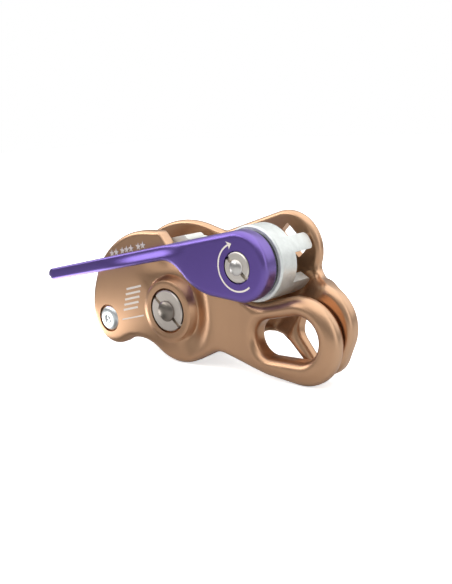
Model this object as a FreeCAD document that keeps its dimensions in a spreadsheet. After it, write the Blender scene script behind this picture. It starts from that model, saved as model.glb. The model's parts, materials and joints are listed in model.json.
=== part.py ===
import FreeCAD, Part
import math
import os

import Sketcher
from FreeCAD import Placement, Rotation, Vector

# Assisted braking belay device: two forged side plates, a sprung cam between them
# and a sprung release lever that carries a steel crown.
# Working frame: X runs along the plates to the carabiner eye, Y from the front face
# to the back face, Z up. The main axle stands at X = Z = 0 and its boss face at Y = 0.

doc = FreeCAD.newDocument("BelayDevice")
sheet = doc.addObject("Spreadsheet::Sheet", "Sizes")

SIZES = {
    # Clearances and finishing sizes
    "running_fit": 0.05,
    "bush_gap": 0.1,
    "side_gap": 0.3,
    "drum_gap": 0.5,
    "edge_round": 1.6,
    "small_round": 0.8,
    "fine_chamfer": 0.3,
    "cut_overrun": 2.0,
    "pick_slack": 0.5,
    # Layers through the device
    "boss_height": 0.5,
    "boss_chamfer": 0.4,
    "plate_thickness": 4.2,
    "rope_channel": 10.5,
    "rear_thickness": 2.7,
    # Release lever's axis and crown, from which the plates' right end is set out
    "lever_axis_x": 33.1,
    "lever_axis_z": 16.65,
    "drum_radius": 10.5,
    # Tail of both plates
    "tail_reach": 34.8,
    "foot_inset": 0.6,
    "foot_z": -4.5,
    "foot_radius": 9.0,
    "heel_radius": 14.0,
    "back_z": -3.7,
    "back_radius": 27.0,
    "horn_angle": 80.1,
    "horn_lift": 0.5,
    "horn_radius": 2.0,
    "horn_cut_angle": 79.9,
    "horn_cut_gap": 0.5,
    "horn_cut_radius": 2.8,
    "shoulder_radius": 17.5,
    "belly_x": 3.2,
    "belly_z": -0.2,
    "belly_radius": 15.4,
    "foot_hollow_radius": 14.0,
    "waist_angle": -44.3,
    "waist_gap": 1.3,
    "waist_radius": 5.4,
    "boss_radius": 9.6,
    # Carabiner eye of the front plate
    "lobe_angle": -55.5,
    "lobe_gap": 1.35,
    "eye_outer_radius": 6.2,
    "eye_outer_rim": 6.0,
    "eye_shift_x": 0.3,
    "eye_shift_z": 0.7,
    "eye_length": 9.4,
    "eye_drop": 1.1,
    "eye_inner_radius": 5.3,
    "eye_inner_rim": 5.5,
    "eye_round": 2.4,
    "rim_back": 2.1,
    # Rear plate outline
    "crest_x": -1.2,
    "crest_z": 5.2,
    "crest_radius": 19.4,
    "rear_back_slack": 3.1,
    "saddle_angle": 61.8,
    "saddle_gap": 0.64,
    "saddle_radius": 4.0,
    "neck_slack": 2.6,
    "arch_inner_x": 27.0,
    "arch_inner_z": -13.6,
    "arch_inner_radius": 7.5,
    "arch_outer_radius": 5.8,
    "arch_outer_gap": 1.63,
    "arch_outer_angle": -163.3,
    "corner_shift_x": 0.9,
    "corner_shift_z": 1.85,
    "corner_radius": 10.9,
    # Carabiner eye of the rear plate
    "rear_lobe_shift_x": 0.9,
    "rear_lobe_shift_z": 3.4,
    "rear_eye_shift_x": 0.3,
    "rear_eye_shift_z": 0.8,
    "rear_eye_radius": 5.8,
    "rear_eye_rim": 5.8,
    "rear_foot_shift_x": 2.2,
    "rear_foot_shift_z": 5.4,
    "rear_foot_radius": 4.2,
    "rear_foot_rim": 3.3,
    "eye_gap": 0.6,
    "rear_eye_thickness": 4.4,
    "bend_start": 25.3,
    "bend_run": 6.2,
    "bend_front_set": 1.35,
    "bend_back_set": 2.2,
    "bend_angle": 40.5,
    "bend_round": 2.6,
    "strip_reach": 80.0,
    "strip_width": 160.0,
    "rear_edge_round": 1.2,
    "rear_eye_round": 1.8,
    # Slanting window in the rear plate, set out from its corner
    "slot_shift_x": 2.4,
    "slot_shift_z": 3.1,
    "slot_length": 9.4,
    "slot_width": 3.1,
    "slot_corner": 0.7,
    "slot_angle": -44.6,
    # Main axle, its nut, bush and washers
    "axle_radius": 3.75,
    "thread_radius": 3.2,
    "dome_rise": 1.3,
    "head_radius": 6.0,
    "head_depth": 1.4,
    "nut_radius": 6.2,
    "nut_thickness": 2.25,
    "nut_rise": 0.25,
    "nut_slot_width": 1.1,
    "nut_slot_depth": 1.1,
    "nut_slot_angle": 40.0,
    "washer_thickness": 0.4,
    "bush_flange": 0.55,
    "bush_wall": 0.75,
    "recess_gap": 0.4,
    "thrust_washer_thickness": 0.5,
    "thrust_washer_radius": 7.6,
    # Cam
    "cam_play": 0.15,
    "cam_top_x": 4.0,
    "cam_top_z": 8.0,
    "cam_top_radius": 13.2,
    "cam_foot_x": 0.8,
    "cam_foot_z": 0.3,
    "cam_foot_radius": 8.9,
    "cam_width": 7.3,
    "cam_cheek": 1.0,
    "groove_depth": 2.8,
    "groove_flare": 0.6,
    "brow_left_x": -7.6,
    "brow_left_z": 18.1,
    "brow_right_x": 3.3,
    "brow_right_z": 20.4,
    "brow_round": 1.6,
    "brow_foot_radius": 6.0,
    "nose_x": 20.0,
    "nose_z": 12.4,
    "nose_radius": 2.2,
    "cam_bush_wall": 0.75,
    # Cam spring
    "cam_spring_wire": 0.7,
    "cam_spring_radius": 6.3,
    "cam_spring_pitch": 1.1,
    "cam_collar_radius": 5.6,
    # Friction plate and its rivets
    "friction_radius": 24.0,
    "friction_wall": 1.3,
    "friction_flange": 5.4,
    "friction_flange_lap": 0.65,
    "friction_flange_thickness": 1.2,
    "friction_first_angle": -9.0,
    "friction_last_angle": 12.0,
    "friction_rivet_radius": 1.1,
    "friction_rivet_head": 1.9,
    "friction_rivet_sink": 0.9,
    "friction_rivet_inset": 2.7,
    "friction_rivet_angle": 13.0,
    # Wear insert and its rivet
    "wear_rivet_shift_x": 1.7,
    "wear_rivet_shift_z": 1.0,
    "wear_rivet_head": 4.1,
    "wear_rivet_rim": 0.6,
    "wear_rivet_shank": 1.9,
    "wear_rivet_rise": 1.05,
    "wear_recess_depth": 1.2,
    "wear_thickness": 1.0,
    "wear_length": 15.0,
    "wear_climb": 1.3,
    "wear_margin": 2.6,
    "wear_taper": 2.6,
    # Release lever
    "lever_thickness": 5.1,
    "lever_gap": 0.9,
    "lever_head_radius": 9.7,
    "lever_hollow_x": 5.0,
    "lever_hollow_z": 8.6,
    "lever_hollow_radius": 7.6,
    "lever_cheek_angle": 39.5,
    "lever_cheek_gap": 0.5,
    "lever_cheek_radius": 17.0,
    "lever_tip_x": -46.2,
    "lever_tip_z": 8.0,
    "lever_tip_radius": 1.9,
    "lever_round": 1.5,
    # Lever axle, nut, bush and collar
    "lever_axle_radius": 3.2,
    "lever_thread_radius": 2.2,
    "lever_stub_radius": 2.4,
    "lever_collar_radius": 4.6,
    "lever_collar_length": 0.8,
    "lever_rear_head_radius": 3.4,
    "lever_head_depth": 1.3,
    "lever_nut_radius": 4.2,
    "lever_nut_thickness": 1.5,
    "lever_nut_rise": 0.2,
    "lever_dome_rise": 0.9,
    "lever_bush_wall": 0.8,
    # Crown drum
    "drum_wall": 3.0,
    "drum_depth": 6.4,
    "drum_web": 1.6,
    "drum_hub_wall": 1.2,
    "drum_chamfer": 0.5,
    "gap_reach": 26.0,
    "prong_length": 8.1,
    "prong_round": 1.4,
    "tooth_round": 4.0,
    "finger_angle": 30.0,
    "finger_width": 4.9,
    "tooth_first_angle": -72.0,
    "tooth_last_angle": -30.0,
    "dog_first_angle": 196.0,
    "dog_last_angle": 232.0,
    # Spacer and drive pins between the lever and the drum
    "spacer_radius": 9.2,
    "pin_radius": 1.0,
    "pin_circle": 7.0,
    "pin_depth": 2.4,
    "pin_end_gap": 0.5,
    # Lever spring
    "lever_spring_wire": 0.7,
    "lever_spring_radius": 5.75,
    "lever_spring_pitch": 1.0,
}

for row, (name, amount) in enumerate(SIZES.items(), start=1):
    sheet.set(f"A{row}", name)
    sheet.set(f"B{row}", str(amount))
    sheet.setAlias(f"B{row}", name)
doc.recompute()


class Size:
    """A size that keeps its value together with the expression that binds it to the sheet."""

    def __init__(self, value, text):
        self.value = value
        self.text = text

    def join(self, sign, other, value):
        right = other.text if isinstance(other, Size) else repr(other)
        return Size(value, f"({self.text} {sign} {right})")

    def __add__(self, other):
        return self.join("+", other, self.value + amount_of(other))

    def __sub__(self, other):
        return self.join("-", other, self.value - amount_of(other))

    def __mul__(self, other):
        return self.join("*", other, self.value * amount_of(other))

    def __truediv__(self, other):
        return self.join("/", other, self.value / amount_of(other))

    def __neg__(self):
        return Size(-self.value, f"(-{self.text})")


def amount_of(size):
    return size.value if isinstance(size, Size) else size


class SizeBook:
    """Reads a named size of the sheet as an attribute."""

    def __getattr__(self, name):
        return Size(float(sheet.get(name)), f"Sizes.{name}")


S = SizeBook()
ZERO = Size(0.0, "0")

# Layers, each measured along Y from the boss face
PLATE_FRONT = S.boss_height
PLATE_BACK = PLATE_FRONT + S.plate_thickness
REAR_FRONT = PLATE_BACK + S.rope_channel
REAR_BACK = REAR_FRONT + S.rear_thickness
RIM_BACK = PLATE_BACK + S.rim_back
REAR_EYE_FRONT = RIM_BACK + S.eye_gap
REAR_EYE_BACK = REAR_EYE_FRONT + S.rear_eye_thickness
NUT_BACK = S.nut_thickness - S.nut_rise
WASHER_BACK = NUT_BACK + S.washer_thickness
FLANGE_FRONT = WASHER_BACK + S.running_fit
FLANGE_BACK = FLANGE_FRONT + S.bush_flange
CAM_FRONT = PLATE_BACK + S.thrust_washer_thickness + S.cam_play
CAM_BACK = CAM_FRONT + S.cam_width
LEVER_BACK = -S.lever_gap
LEVER_FRONT = LEVER_BACK - S.lever_thickness
LEVER_NUT_FRONT = LEVER_FRONT - S.lever_nut_rise
LEVER_NUT_BACK = LEVER_NUT_FRONT + S.lever_nut_thickness
CROWN_BACK = S.drum_depth + S.prong_length


def polar(x, z, reach, angle):
    """A place at a reach and a named angle in degrees from (x, z)."""
    turn = math.radians(angle.value)
    return x + reach * math.cos(turn), z + reach * math.sin(turn)


def distance(x, z, other_x, other_z):
    """The distance between two places, bound to the sizes that set them."""
    step_x, step_z = other_x - x, other_z - z
    return Size(math.hypot(step_x.value, step_z.value),
                f"sqrt({step_x.text} ^ 2 + {step_z.text} ^ 2)")


# Places in the plan that the outlines share
BACK_X = S.back_radius - S.tail_reach
FOOT_X = S.foot_radius + S.foot_inset - S.tail_reach
HORN_X, HORN_Z = polar(BACK_X, S.back_z, S.back_radius - S.horn_radius + S.horn_lift,
                       S.horn_angle)
HORN_CUT_X, HORN_CUT_Z = polar(ZERO, ZERO, S.shoulder_radius + S.horn_cut_radius
                               + S.horn_cut_gap, S.horn_cut_angle)
WAIST_X, WAIST_Z = polar(S.belly_x, S.belly_z, S.belly_radius + S.waist_radius + S.waist_gap,
                         S.waist_angle)
NOTCH_RADIUS = S.drum_radius + S.drum_gap
LOBE_RADIUS = S.eye_outer_radius + S.eye_outer_rim
LOBE_X, LOBE_Z = polar(S.lever_axis_x, S.lever_axis_z, NOTCH_RADIUS + LOBE_RADIUS + S.lobe_gap,
                       S.lobe_angle)
EYE_OUTER_X, EYE_OUTER_Z = LOBE_X - S.eye_shift_x, LOBE_Z + S.eye_shift_z
EYE_INNER_X, EYE_INNER_Z = EYE_OUTER_X - S.eye_length, EYE_OUTER_Z - S.eye_drop
REAR_LOBE_X, REAR_LOBE_Z = LOBE_X + S.rear_lobe_shift_x, LOBE_Z + S.rear_lobe_shift_z
REAR_LOBE_RADIUS = S.rear_eye_radius + S.rear_eye_rim
REAR_EYE_X, REAR_EYE_Z = REAR_LOBE_X - S.rear_eye_shift_x, REAR_LOBE_Z - S.rear_eye_shift_z
REAR_FOOT_X, REAR_FOOT_Z = REAR_EYE_X + S.rear_foot_shift_x, REAR_EYE_Z - S.rear_foot_shift_z
REAR_FOOT_RADIUS = S.rear_foot_radius + S.rear_foot_rim
ARCH_OUTER_X, ARCH_OUTER_Z = polar(REAR_FOOT_X, REAR_FOOT_Z, REAR_FOOT_RADIUS
                                   + S.arch_outer_radius + S.arch_outer_gap,
                                   S.arch_outer_angle)
CORNER_X, CORNER_Z = S.lever_axis_x + S.corner_shift_x, S.lever_axis_z + S.corner_shift_z
SADDLE_X, SADDLE_Z = polar(S.crest_x, S.crest_z, S.crest_radius + S.saddle_radius
                           + S.saddle_gap, S.saddle_angle)
SLOT_X, SLOT_Z = CORNER_X + S.slot_shift_x, CORNER_Z + S.slot_shift_z
WEAR_RIVET_X, WEAR_RIVET_Z = FOOT_X - S.wear_rivet_shift_x, S.foot_z - S.wear_rivet_shift_z
CHEEK_X, CHEEK_Z = polar(S.lever_hollow_x, S.lever_hollow_z, S.lever_hollow_radius
                         + S.lever_cheek_radius + S.lever_cheek_gap, S.lever_cheek_angle)

# The frame's origin lies on the floor under the middle of the whole device
HOME_X = -(REAR_LOBE_X + REAR_LOBE_RADIUS + S.lever_tip_x - S.lever_tip_radius) / 2
HOME_Y = -(REAR_BACK + LEVER_NUT_FRONT - S.lever_dome_rise) / 2
HOME_Z = LOBE_RADIUS - LOBE_Z

bodies = []


# Expressions and sketches

def bind(target, name, size):
    target.setExpression(name, size.text)


def new_body(label, x=ZERO, y=ZERO, z=ZERO):
    body = doc.addObject("PartDesign::Body", label)
    body.Label = label
    bind(body, "Placement.Base.x", HOME_X + x)
    bind(body, "Placement.Base.y", HOME_Y + y)
    bind(body, "Placement.Base.z", HOME_Z + z)
    bodies.append(body)
    return body


def origin_part(body, role):
    return next(part for part in body.Origin.OriginFeatures if part.Role == role)


def new_sketch(body, name, plane="XZ_Plane", offset=None):
    """A sketch on one of the body's own planes; offset is its place along Y."""
    sketch = body.newObject("Sketcher::SketchObject", name)
    sketch.AttachmentSupport = (origin_part(body, plane), [""])
    sketch.MapMode = "FlatFace"
    if offset is not None:
        bind(sketch, "AttachmentOffset.Base.z", -offset)
    return sketch


def limit(sketch, kind, *where, size):
    """A constraint whose value follows the sheet."""
    index = sketch.addConstraint(Sketcher.Constraint(kind, *where, size.value))
    sketch.setExpression(f"Constraints[{index}]", size.text)


def pin_point(sketch, edge, end, x, z):
    limit(sketch, "DistanceX", -1, 1, edge, end, size=x)
    limit(sketch, "DistanceY", -1, 1, edge, end, size=z)


def add_circle(sketch, radius, x=ZERO, z=ZERO):
    centre = Vector(x.value, z.value, 0)
    edge = sketch.addGeometry(Part.Circle(centre, Vector(0, 0, 1), radius.value), False)
    limit(sketch, "Radius", edge, size=radius)
    pin_point(sketch, edge, 3, x, z)


def add_polygon(sketch, corners):
    """A closed loop of straight lines through (x, y) sizes."""
    first = sketch.GeometryCount
    count = len(corners)
    points = [Vector(x.value, y.value, 0) for x, y in corners]
    for start, end in zip(points, points[1:] + points[:1]):
        sketch.addGeometry(Part.LineSegment(start, end), False)
    for index, (x, y) in enumerate(corners):
        before = first + (index - 1) % count
        sketch.addConstraint(Sketcher.Constraint("Coincident", before, 2, first + index, 1))
        pin_point(sketch, first + index, 1, x, y)


# Outlines made of circles that are joined by tangents

def fixed(x, z, radius, side=1):
    """A circle of an outline: side 1 bulges outwards, side -1 is a hollow."""
    return {"x": x, "z": z, "radius": radius, "side": side}


def blend(radius, side):
    """A circle that finds its own centre, tangent to the circles before and after it."""
    return {"x": None, "z": None, "radius": radius, "side": side}


def centre_of(circle):
    return Vector(circle["x"].value, circle["z"].value, 0)


def blend_centre(before, circle, after):
    radius = circle["radius"].value
    reaches = []
    for other in (before, after):
        same = other["side"] == circle["side"]
        other_radius = other["radius"].value
        reaches.append(abs(other_radius - radius) if same else other_radius + radius)
    start, end = centre_of(before), centre_of(after)
    chord = end - start
    along = (reaches[0] ** 2 - reaches[1] ** 2 + chord.Length ** 2) / (2 * chord.Length)
    wide = radius > max(before["radius"].value, after["radius"].value)
    left = 1 if circle["side"] == 1 and wide else -1
    height = math.sqrt(reaches[0] ** 2 - along ** 2) * left
    direction = Vector(chord).normalize()
    return start + direction * along + Vector(-direction.y, direction.x, 0) * height


def tangent_points(start, end):
    """The two ends of the straight tangent from one circle of the outline to the next."""
    chord = end["centre"] - start["centre"]
    first = start["side"] * start["radius"].value
    last = end["side"] * end["radius"].value
    ratio = max(-1.0, min(1.0, (last - first) / chord.Length))
    heading = math.atan2(chord.y, chord.x) - math.asin(ratio)
    left = Vector(-math.sin(heading), math.cos(heading), 0)
    return start["centre"] - left * first, end["centre"] - left * last


def add_outline(sketch, circles):
    """Arcs round the circles, anticlockwise about the solid, with their tangent lines."""
    count = len(circles)
    for index, circle in enumerate(circles):
        if circle["x"] is None:
            before, after = circles[index - 1], circles[(index + 1) % count]
            circle["centre"] = blend_centre(before, circle, after)
        else:
            circle["centre"] = centre_of(circle)
    joints = [tangent_points(circle, circles[(index + 1) % count])
              for index, circle in enumerate(circles)]
    for index, circle in enumerate(circles):
        ends = [joints[index - 1][1], joints[index][0]][::circle["side"]]
        angles = [math.atan2(point.y - circle["centre"].y, point.x - circle["centre"].x)
                  for point in ends]
        ring = Part.Circle(circle["centre"], Vector(0, 0, 1), circle["radius"].value)
        circle["edge"] = sketch.addGeometry(Part.ArcOfCircle(ring, *angles), False)
        circle["ends"] = (1, 2) if circle["side"] == 1 else (2, 1)
    for index, circle in enumerate(circles):
        after = circles[(index + 1) % count]
        leave, arrive = circle["ends"][1], after["ends"][0]
        if circle["x"] is None or after["x"] is None:
            sketch.addConstraint(
                Sketcher.Constraint("Tangent", circle["edge"], leave, after["edge"], arrive))
            continue
        line = sketch.addGeometry(Part.LineSegment(*joints[index]), False)
        sketch.addConstraint(Sketcher.Constraint("Tangent", circle["edge"], leave, line, 1))
        sketch.addConstraint(Sketcher.Constraint("Tangent", line, 2, after["edge"], arrive))
    for circle in circles:
        limit(sketch, "Radius", circle["edge"], size=circle["radius"])
        if circle["x"] is not None:
            pin_point(sketch, circle["edge"], 3, circle["x"], circle["z"])


# Features

def finish(body, feature):
    doc.recompute()
    body.Tip = feature
    return feature


def pad(body, sketch, length, backwards=True):
    """Adds material from the sketch towards the back, or towards the front."""
    feature = body.newObject("PartDesign::Pad", sketch.Name + "Pad")
    feature.Profile = sketch
    feature.Reversed = backwards
    bind(feature, "Length", length)
    return finish(body, feature)


def pocket(body, sketch, length=None, backwards=True):
    """Cuts from the sketch towards the back, or right through when no length is given."""
    feature = body.newObject("PartDesign::Pocket", sketch.Name + "Pocket")
    feature.Profile = sketch
    feature.Reversed = not backwards
    if length is None:
        feature.Type = "ThroughAll"
        feature.Midplane = True
    else:
        bind(feature, "Length", length)
    return finish(body, feature)


def turned(body, name, corners):
    """A turned piece about the body's Y axis from (radius, y) corners."""
    sketch = new_sketch(body, name, "XY_Plane")
    add_polygon(sketch, corners)
    return turn_section(body, sketch, name)


def turn_section(body, sketch, name):
    feature = body.newObject("PartDesign::Revolution", name + "Turned")
    feature.Profile = sketch
    feature.ReferenceAxis = (origin_part(body, "Y_Axis"), [""])
    feature.Angle = 360
    return finish(body, feature)


def tube(body, name, inner, outer, front, back):
    return turned(body, name, [(inner, front), (outer, front), (outer, back), (inner, back)])


def domed(body, name, radius, rise, rim, corners):
    """A turned piece whose front is a dome over its rim, with corners down to the axis."""
    sketch = new_sketch(body, name, "XY_Plane")
    ball = (radius * radius + rise * rise) / (rise * 2)
    top = rim - rise
    points = [(radius, rim)] + corners + [(ZERO, top)]
    for start, end in zip(points, points[1:]):
        ends = [Vector(x.value, y.value, 0) for x, y in (start, end)]
        line = sketch.addGeometry(Part.LineSegment(*ends), False)
        pin_point(sketch, line, 1, *start)
        if line:
            sketch.addConstraint(Sketcher.Constraint("Coincident", line - 1, 2, line, 1))
    pin_point(sketch, line, 2, *points[-1])
    centre = Vector(0, top.value + ball.value, 0)
    circle = Part.Circle(centre, Vector(0, 0, 1), ball.value)
    turn = math.asin(radius.value / ball.value)
    first = -math.pi / 2
    arc = sketch.addGeometry(Part.ArcOfCircle(circle, first, first + turn), False)
    sketch.addConstraint(Sketcher.Constraint("Coincident", arc, 1, line, 2))
    sketch.addConstraint(Sketcher.Constraint("Coincident", arc, 2, 0, 1))
    limit(sketch, "DistanceX", -1, 1, arc, 3, size=ZERO)
    return turn_section(body, sketch, name)


PROBE_SHARES = (0.03, 0.5, 0.97)


def edges_of(feature, accept):
    """Names of the edges whose points all satisfy accept."""
    names = []
    for index, edge in enumerate(feature.Shape.Edges, start=1):
        first, last = edge.ParameterRange
        points = [edge.valueAt(first + (last - first) * share) for share in PROBE_SHARES]
        if all(accept(point) for point in points):
            names.append(f"Edge{index}")
    return names


def dress(body, kind, base, names, size, label):
    """A fillet or a chamfer on named edges."""
    feature = body.newObject(f"PartDesign::{kind}", label)
    feature.Base = (base, names)
    bind(feature, "Radius" if kind == "Fillet" else "Size", size)
    return finish(body, feature)


def near(value, size, slack=0.01):
    return abs(value - size.value) < slack


def radius_at(point, x=ZERO, z=ZERO):
    return math.hypot(point.x - x.value, point.z - z.value)


def sector(sketch, first, last, reach, steps=2):
    """A wedge about the sketch's origin out to reach; its angles are in degrees."""
    corners = [(ZERO, ZERO)]
    for step in range(steps + 1):
        angle = math.radians(first + (last - first) * step / steps)
        corners.append((reach * math.cos(angle), reach * math.sin(angle)))
    add_polygon(sketch, corners)


# Front plate, which swings open about the main axle

def front_plate_outline():
    return [
        fixed(FOOT_X, S.foot_z, S.foot_radius),
        blend(S.foot_hollow_radius, -1),
        fixed(S.belly_x, S.belly_z, S.belly_radius),
        fixed(WAIST_X, WAIST_Z, S.waist_radius, -1),
        fixed(EYE_INNER_X, EYE_INNER_Z, S.eye_inner_radius + S.eye_inner_rim),
        fixed(LOBE_X, LOBE_Z, LOBE_RADIUS),
        fixed(S.lever_axis_x, S.lever_axis_z, NOTCH_RADIUS, -1),
        fixed(ZERO, ZERO, S.shoulder_radius),
        fixed(HORN_CUT_X, HORN_CUT_Z, S.horn_cut_radius, -1),
        fixed(HORN_X, HORN_Z, S.horn_radius),
        fixed(BACK_X, S.back_z, S.back_radius),
        blend(S.heel_radius, 1),
    ]


def eye_outline():
    return [
        fixed(EYE_INNER_X, EYE_INNER_Z, S.eye_inner_radius),
        fixed(EYE_OUTER_X, EYE_OUTER_Z, S.eye_outer_radius),
    ]


def in_eye(point):
    inner = radius_at(point, EYE_INNER_X, EYE_INNER_Z) - S.eye_inner_radius.value
    outer = radius_at(point, EYE_OUTER_X, EYE_OUTER_Z) - S.eye_outer_radius.value
    return min(inner, outer) < S.pick_slack.value


def make_front_plate():
    body = new_body("front_plate")
    outline = new_sketch(body, "PlateOutline", offset=PLATE_FRONT)
    add_outline(outline, front_plate_outline())
    blank = pad(body, outline, S.plate_thickness)
    edges = edges_of(blank, lambda point: near(point.y, PLATE_FRONT))
    rounded = dress(body, "Fillet", blank, edges, S.edge_round, "PlateFrontRound")
    edges = edges_of(rounded, lambda point: near(point.y, PLATE_BACK))
    rounded = dress(body, "Fillet", rounded, edges, S.small_round, "PlateBackRound")
    # The eye's rim stands proud of the inner face
    rim = new_sketch(body, "RimOutline", offset=PLATE_BACK - S.edge_round)
    add_outline(rim, [
        fixed(EYE_INNER_X, EYE_INNER_Z, S.eye_inner_radius + S.eye_inner_rim - S.small_round),
        fixed(LOBE_X, LOBE_Z, LOBE_RADIUS - S.small_round),
    ])
    rim_pad = pad(body, rim, S.rim_back + S.edge_round)
    edges = edges_of(rim_pad, lambda point: near(point.y, RIM_BACK))
    dress(body, "Fillet", rim_pad, edges, S.small_round, "RimRound")
    # The boss and its raised ring
    boss = new_sketch(body, "BossOutline", offset=ZERO)
    add_circle(boss, S.boss_radius)
    boss_pad = pad(body, boss, PLATE_BACK)
    edges = edges_of(boss_pad, lambda point: near(point.y, ZERO))
    dress(body, "Chamfer", boss_pad, edges, S.boss_chamfer, "BossChamfer")
    # The eye, with a wide round towards the front
    eye = new_sketch(body, "EyeOutline", offset=ZERO)
    add_outline(eye, eye_outline())
    eye_cut = pocket(body, eye)
    edges = edges_of(eye_cut, lambda point: near(point.y, PLATE_FRONT) and in_eye(point))
    eye_cut = dress(body, "Fillet", eye_cut, edges, S.eye_round, "EyeFrontRound")
    edges = edges_of(eye_cut, lambda point: near(point.y, RIM_BACK) and in_eye(point))
    dress(body, "Fillet", eye_cut, edges, S.edge_round, "EyeBackRound")
    # Recess for the nut and bore for the bush
    recess = new_sketch(body, "RecessOutline", offset=ZERO)
    add_circle(recess, S.nut_radius + S.recess_gap)
    pocket(body, recess, FLANGE_BACK)
    bore = new_sketch(body, "BoreOutline", offset=ZERO)
    add_circle(bore, S.axle_radius + S.running_fit + S.bush_wall)
    pocket(body, bore)
    # Recesses for the rivet head in front and the wear insert behind
    head = new_sketch(body, "RivetHeadOutline", offset=ZERO)
    add_circle(head, S.wear_rivet_head + S.side_gap, WEAR_RIVET_X, WEAR_RIVET_Z)
    pocket(body, head, PLATE_FRONT + S.wear_recess_depth)
    shank = new_sketch(body, "RivetShankOutline", offset=ZERO)
    add_circle(shank, S.wear_rivet_shank, WEAR_RIVET_X, WEAR_RIVET_Z)
    pocket(body, shank)
    insert = new_sketch(body, "InsertPocketOutline", offset=PLATE_BACK - S.wear_thickness)
    add_outline(insert, wear_insert_outline(S.running_fit))
    pocket(body, insert, S.wear_thickness + S.cut_overrun)
    return body


def wear_insert_outline(grow):
    radius = S.foot_radius - S.wear_margin
    return [
        fixed(FOOT_X, S.foot_z, radius + grow),
        fixed(FOOT_X + S.wear_length, S.foot_z + S.wear_climb, radius - S.wear_taper + grow),
    ]


def make_wear_insert():
    body = new_body("wear_insert")
    outline = new_sketch(body, "InsertOutline", offset=PLATE_BACK - S.wear_thickness)
    add_outline(outline, wear_insert_outline(ZERO))
    pad(body, outline, S.wear_thickness)
    hole = new_sketch(body, "InsertHole", offset=ZERO)
    add_circle(hole, S.wear_rivet_shank, WEAR_RIVET_X, WEAR_RIVET_Z)
    pocket(body, hole)
    return body


def make_wear_rivet():
    body = new_body("wear_rivet", WEAR_RIVET_X, ZERO, WEAR_RIVET_Z)
    seat = PLATE_FRONT + S.wear_recess_depth
    domed(body, "WearRivetSection", S.wear_rivet_head, S.wear_rivet_rise,
          seat - S.wear_rivet_rim, [
              (S.wear_rivet_head, seat),
              (S.wear_rivet_shank, seat),
              (S.wear_rivet_shank, PLATE_BACK),
              (ZERO, PLATE_BACK),
          ])
    return body


def make_front_bush():
    body = new_body("front_bush")
    bore = S.axle_radius + S.running_fit
    turned(body, "FrontBushSection", [
        (bore, FLANGE_FRONT),
        (S.nut_radius, FLANGE_FRONT),
        (S.nut_radius, FLANGE_BACK),
        (bore + S.bush_wall, FLANGE_BACK),
        (bore + S.bush_wall, PLATE_BACK),
        (bore, PLATE_BACK),
    ])
    return body


# Rear plate, bent forward so that its eye meets the eye of the front plate

def rear_plate_outline():
    straight = distance(S.crest_x, S.crest_z, FOOT_X, S.foot_z)
    back_radius = (straight + S.crest_radius + S.foot_radius) / 2 + S.rear_back_slack
    straight = distance(REAR_LOBE_X, REAR_LOBE_Z, CORNER_X, CORNER_Z)
    neck_radius = (straight - REAR_LOBE_RADIUS - S.corner_radius) / 2 + S.neck_slack
    return [
        fixed(FOOT_X, S.foot_z, S.foot_radius),
        blend(S.foot_hollow_radius, -1),
        fixed(S.belly_x, S.belly_z, S.belly_radius),
        fixed(S.arch_inner_x, S.arch_inner_z, S.arch_inner_radius, -1),
        fixed(ARCH_OUTER_X, ARCH_OUTER_Z, S.arch_outer_radius, -1),
        fixed(REAR_FOOT_X, REAR_FOOT_Z, REAR_FOOT_RADIUS),
        fixed(REAR_LOBE_X, REAR_LOBE_Z, REAR_LOBE_RADIUS),
        blend(neck_radius, -1),
        fixed(CORNER_X, CORNER_Z, S.corner_radius),
        fixed(SADDLE_X, SADDLE_Z, S.saddle_radius, -1),
        fixed(S.crest_x, S.crest_z, S.crest_radius),
        blend(back_radius, 1),
    ]


def rear_profile():
    """Section across the bend: (distance across the bend line, y)."""
    bend_end = S.bend_start + S.bend_run
    return [
        (-S.strip_reach, REAR_FRONT),
        (S.bend_start, REAR_FRONT),
        (bend_end, REAR_EYE_FRONT),
        (S.strip_reach, REAR_EYE_FRONT),
        (S.strip_reach, REAR_EYE_BACK),
        (bend_end + S.bend_back_set, REAR_EYE_BACK),
        (S.bend_start + S.bend_front_set, REAR_BACK),
        (-S.strip_reach, REAR_BACK),
    ]


def in_rear_eye(point):
    upper = radius_at(point, REAR_EYE_X, REAR_EYE_Z) - S.rear_eye_radius.value
    lower = radius_at(point, REAR_FOOT_X, REAR_FOOT_Z) - S.rear_foot_radius.value
    return min(upper, lower) < S.pick_slack.value


FACING_SHARE = 0.3


def rim_edges(feature, side, accept):
    """Names of the edges round the skin that faces one side, along Y."""
    skins = []
    for face in feature.Shape.Faces:
        first_u, last_u, first_v, last_v = face.ParameterRange
        normal = face.normalAt((first_u + last_u) / 2, (first_v + last_v) / 2)
        if normal.y * side > FACING_SHARE:
            skins.append(face)
    names = []
    for index, edge in enumerate(feature.Shape.Edges, start=1):
        owners = sum(any(edge.isSame(other) for other in face.Edges) for face in skins)
        middle = edge.valueAt((edge.FirstParameter + edge.LastParameter) / 2)
        if owners == 1 and accept(middle):
            names.append(f"Edge{index}")
    return names


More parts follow.
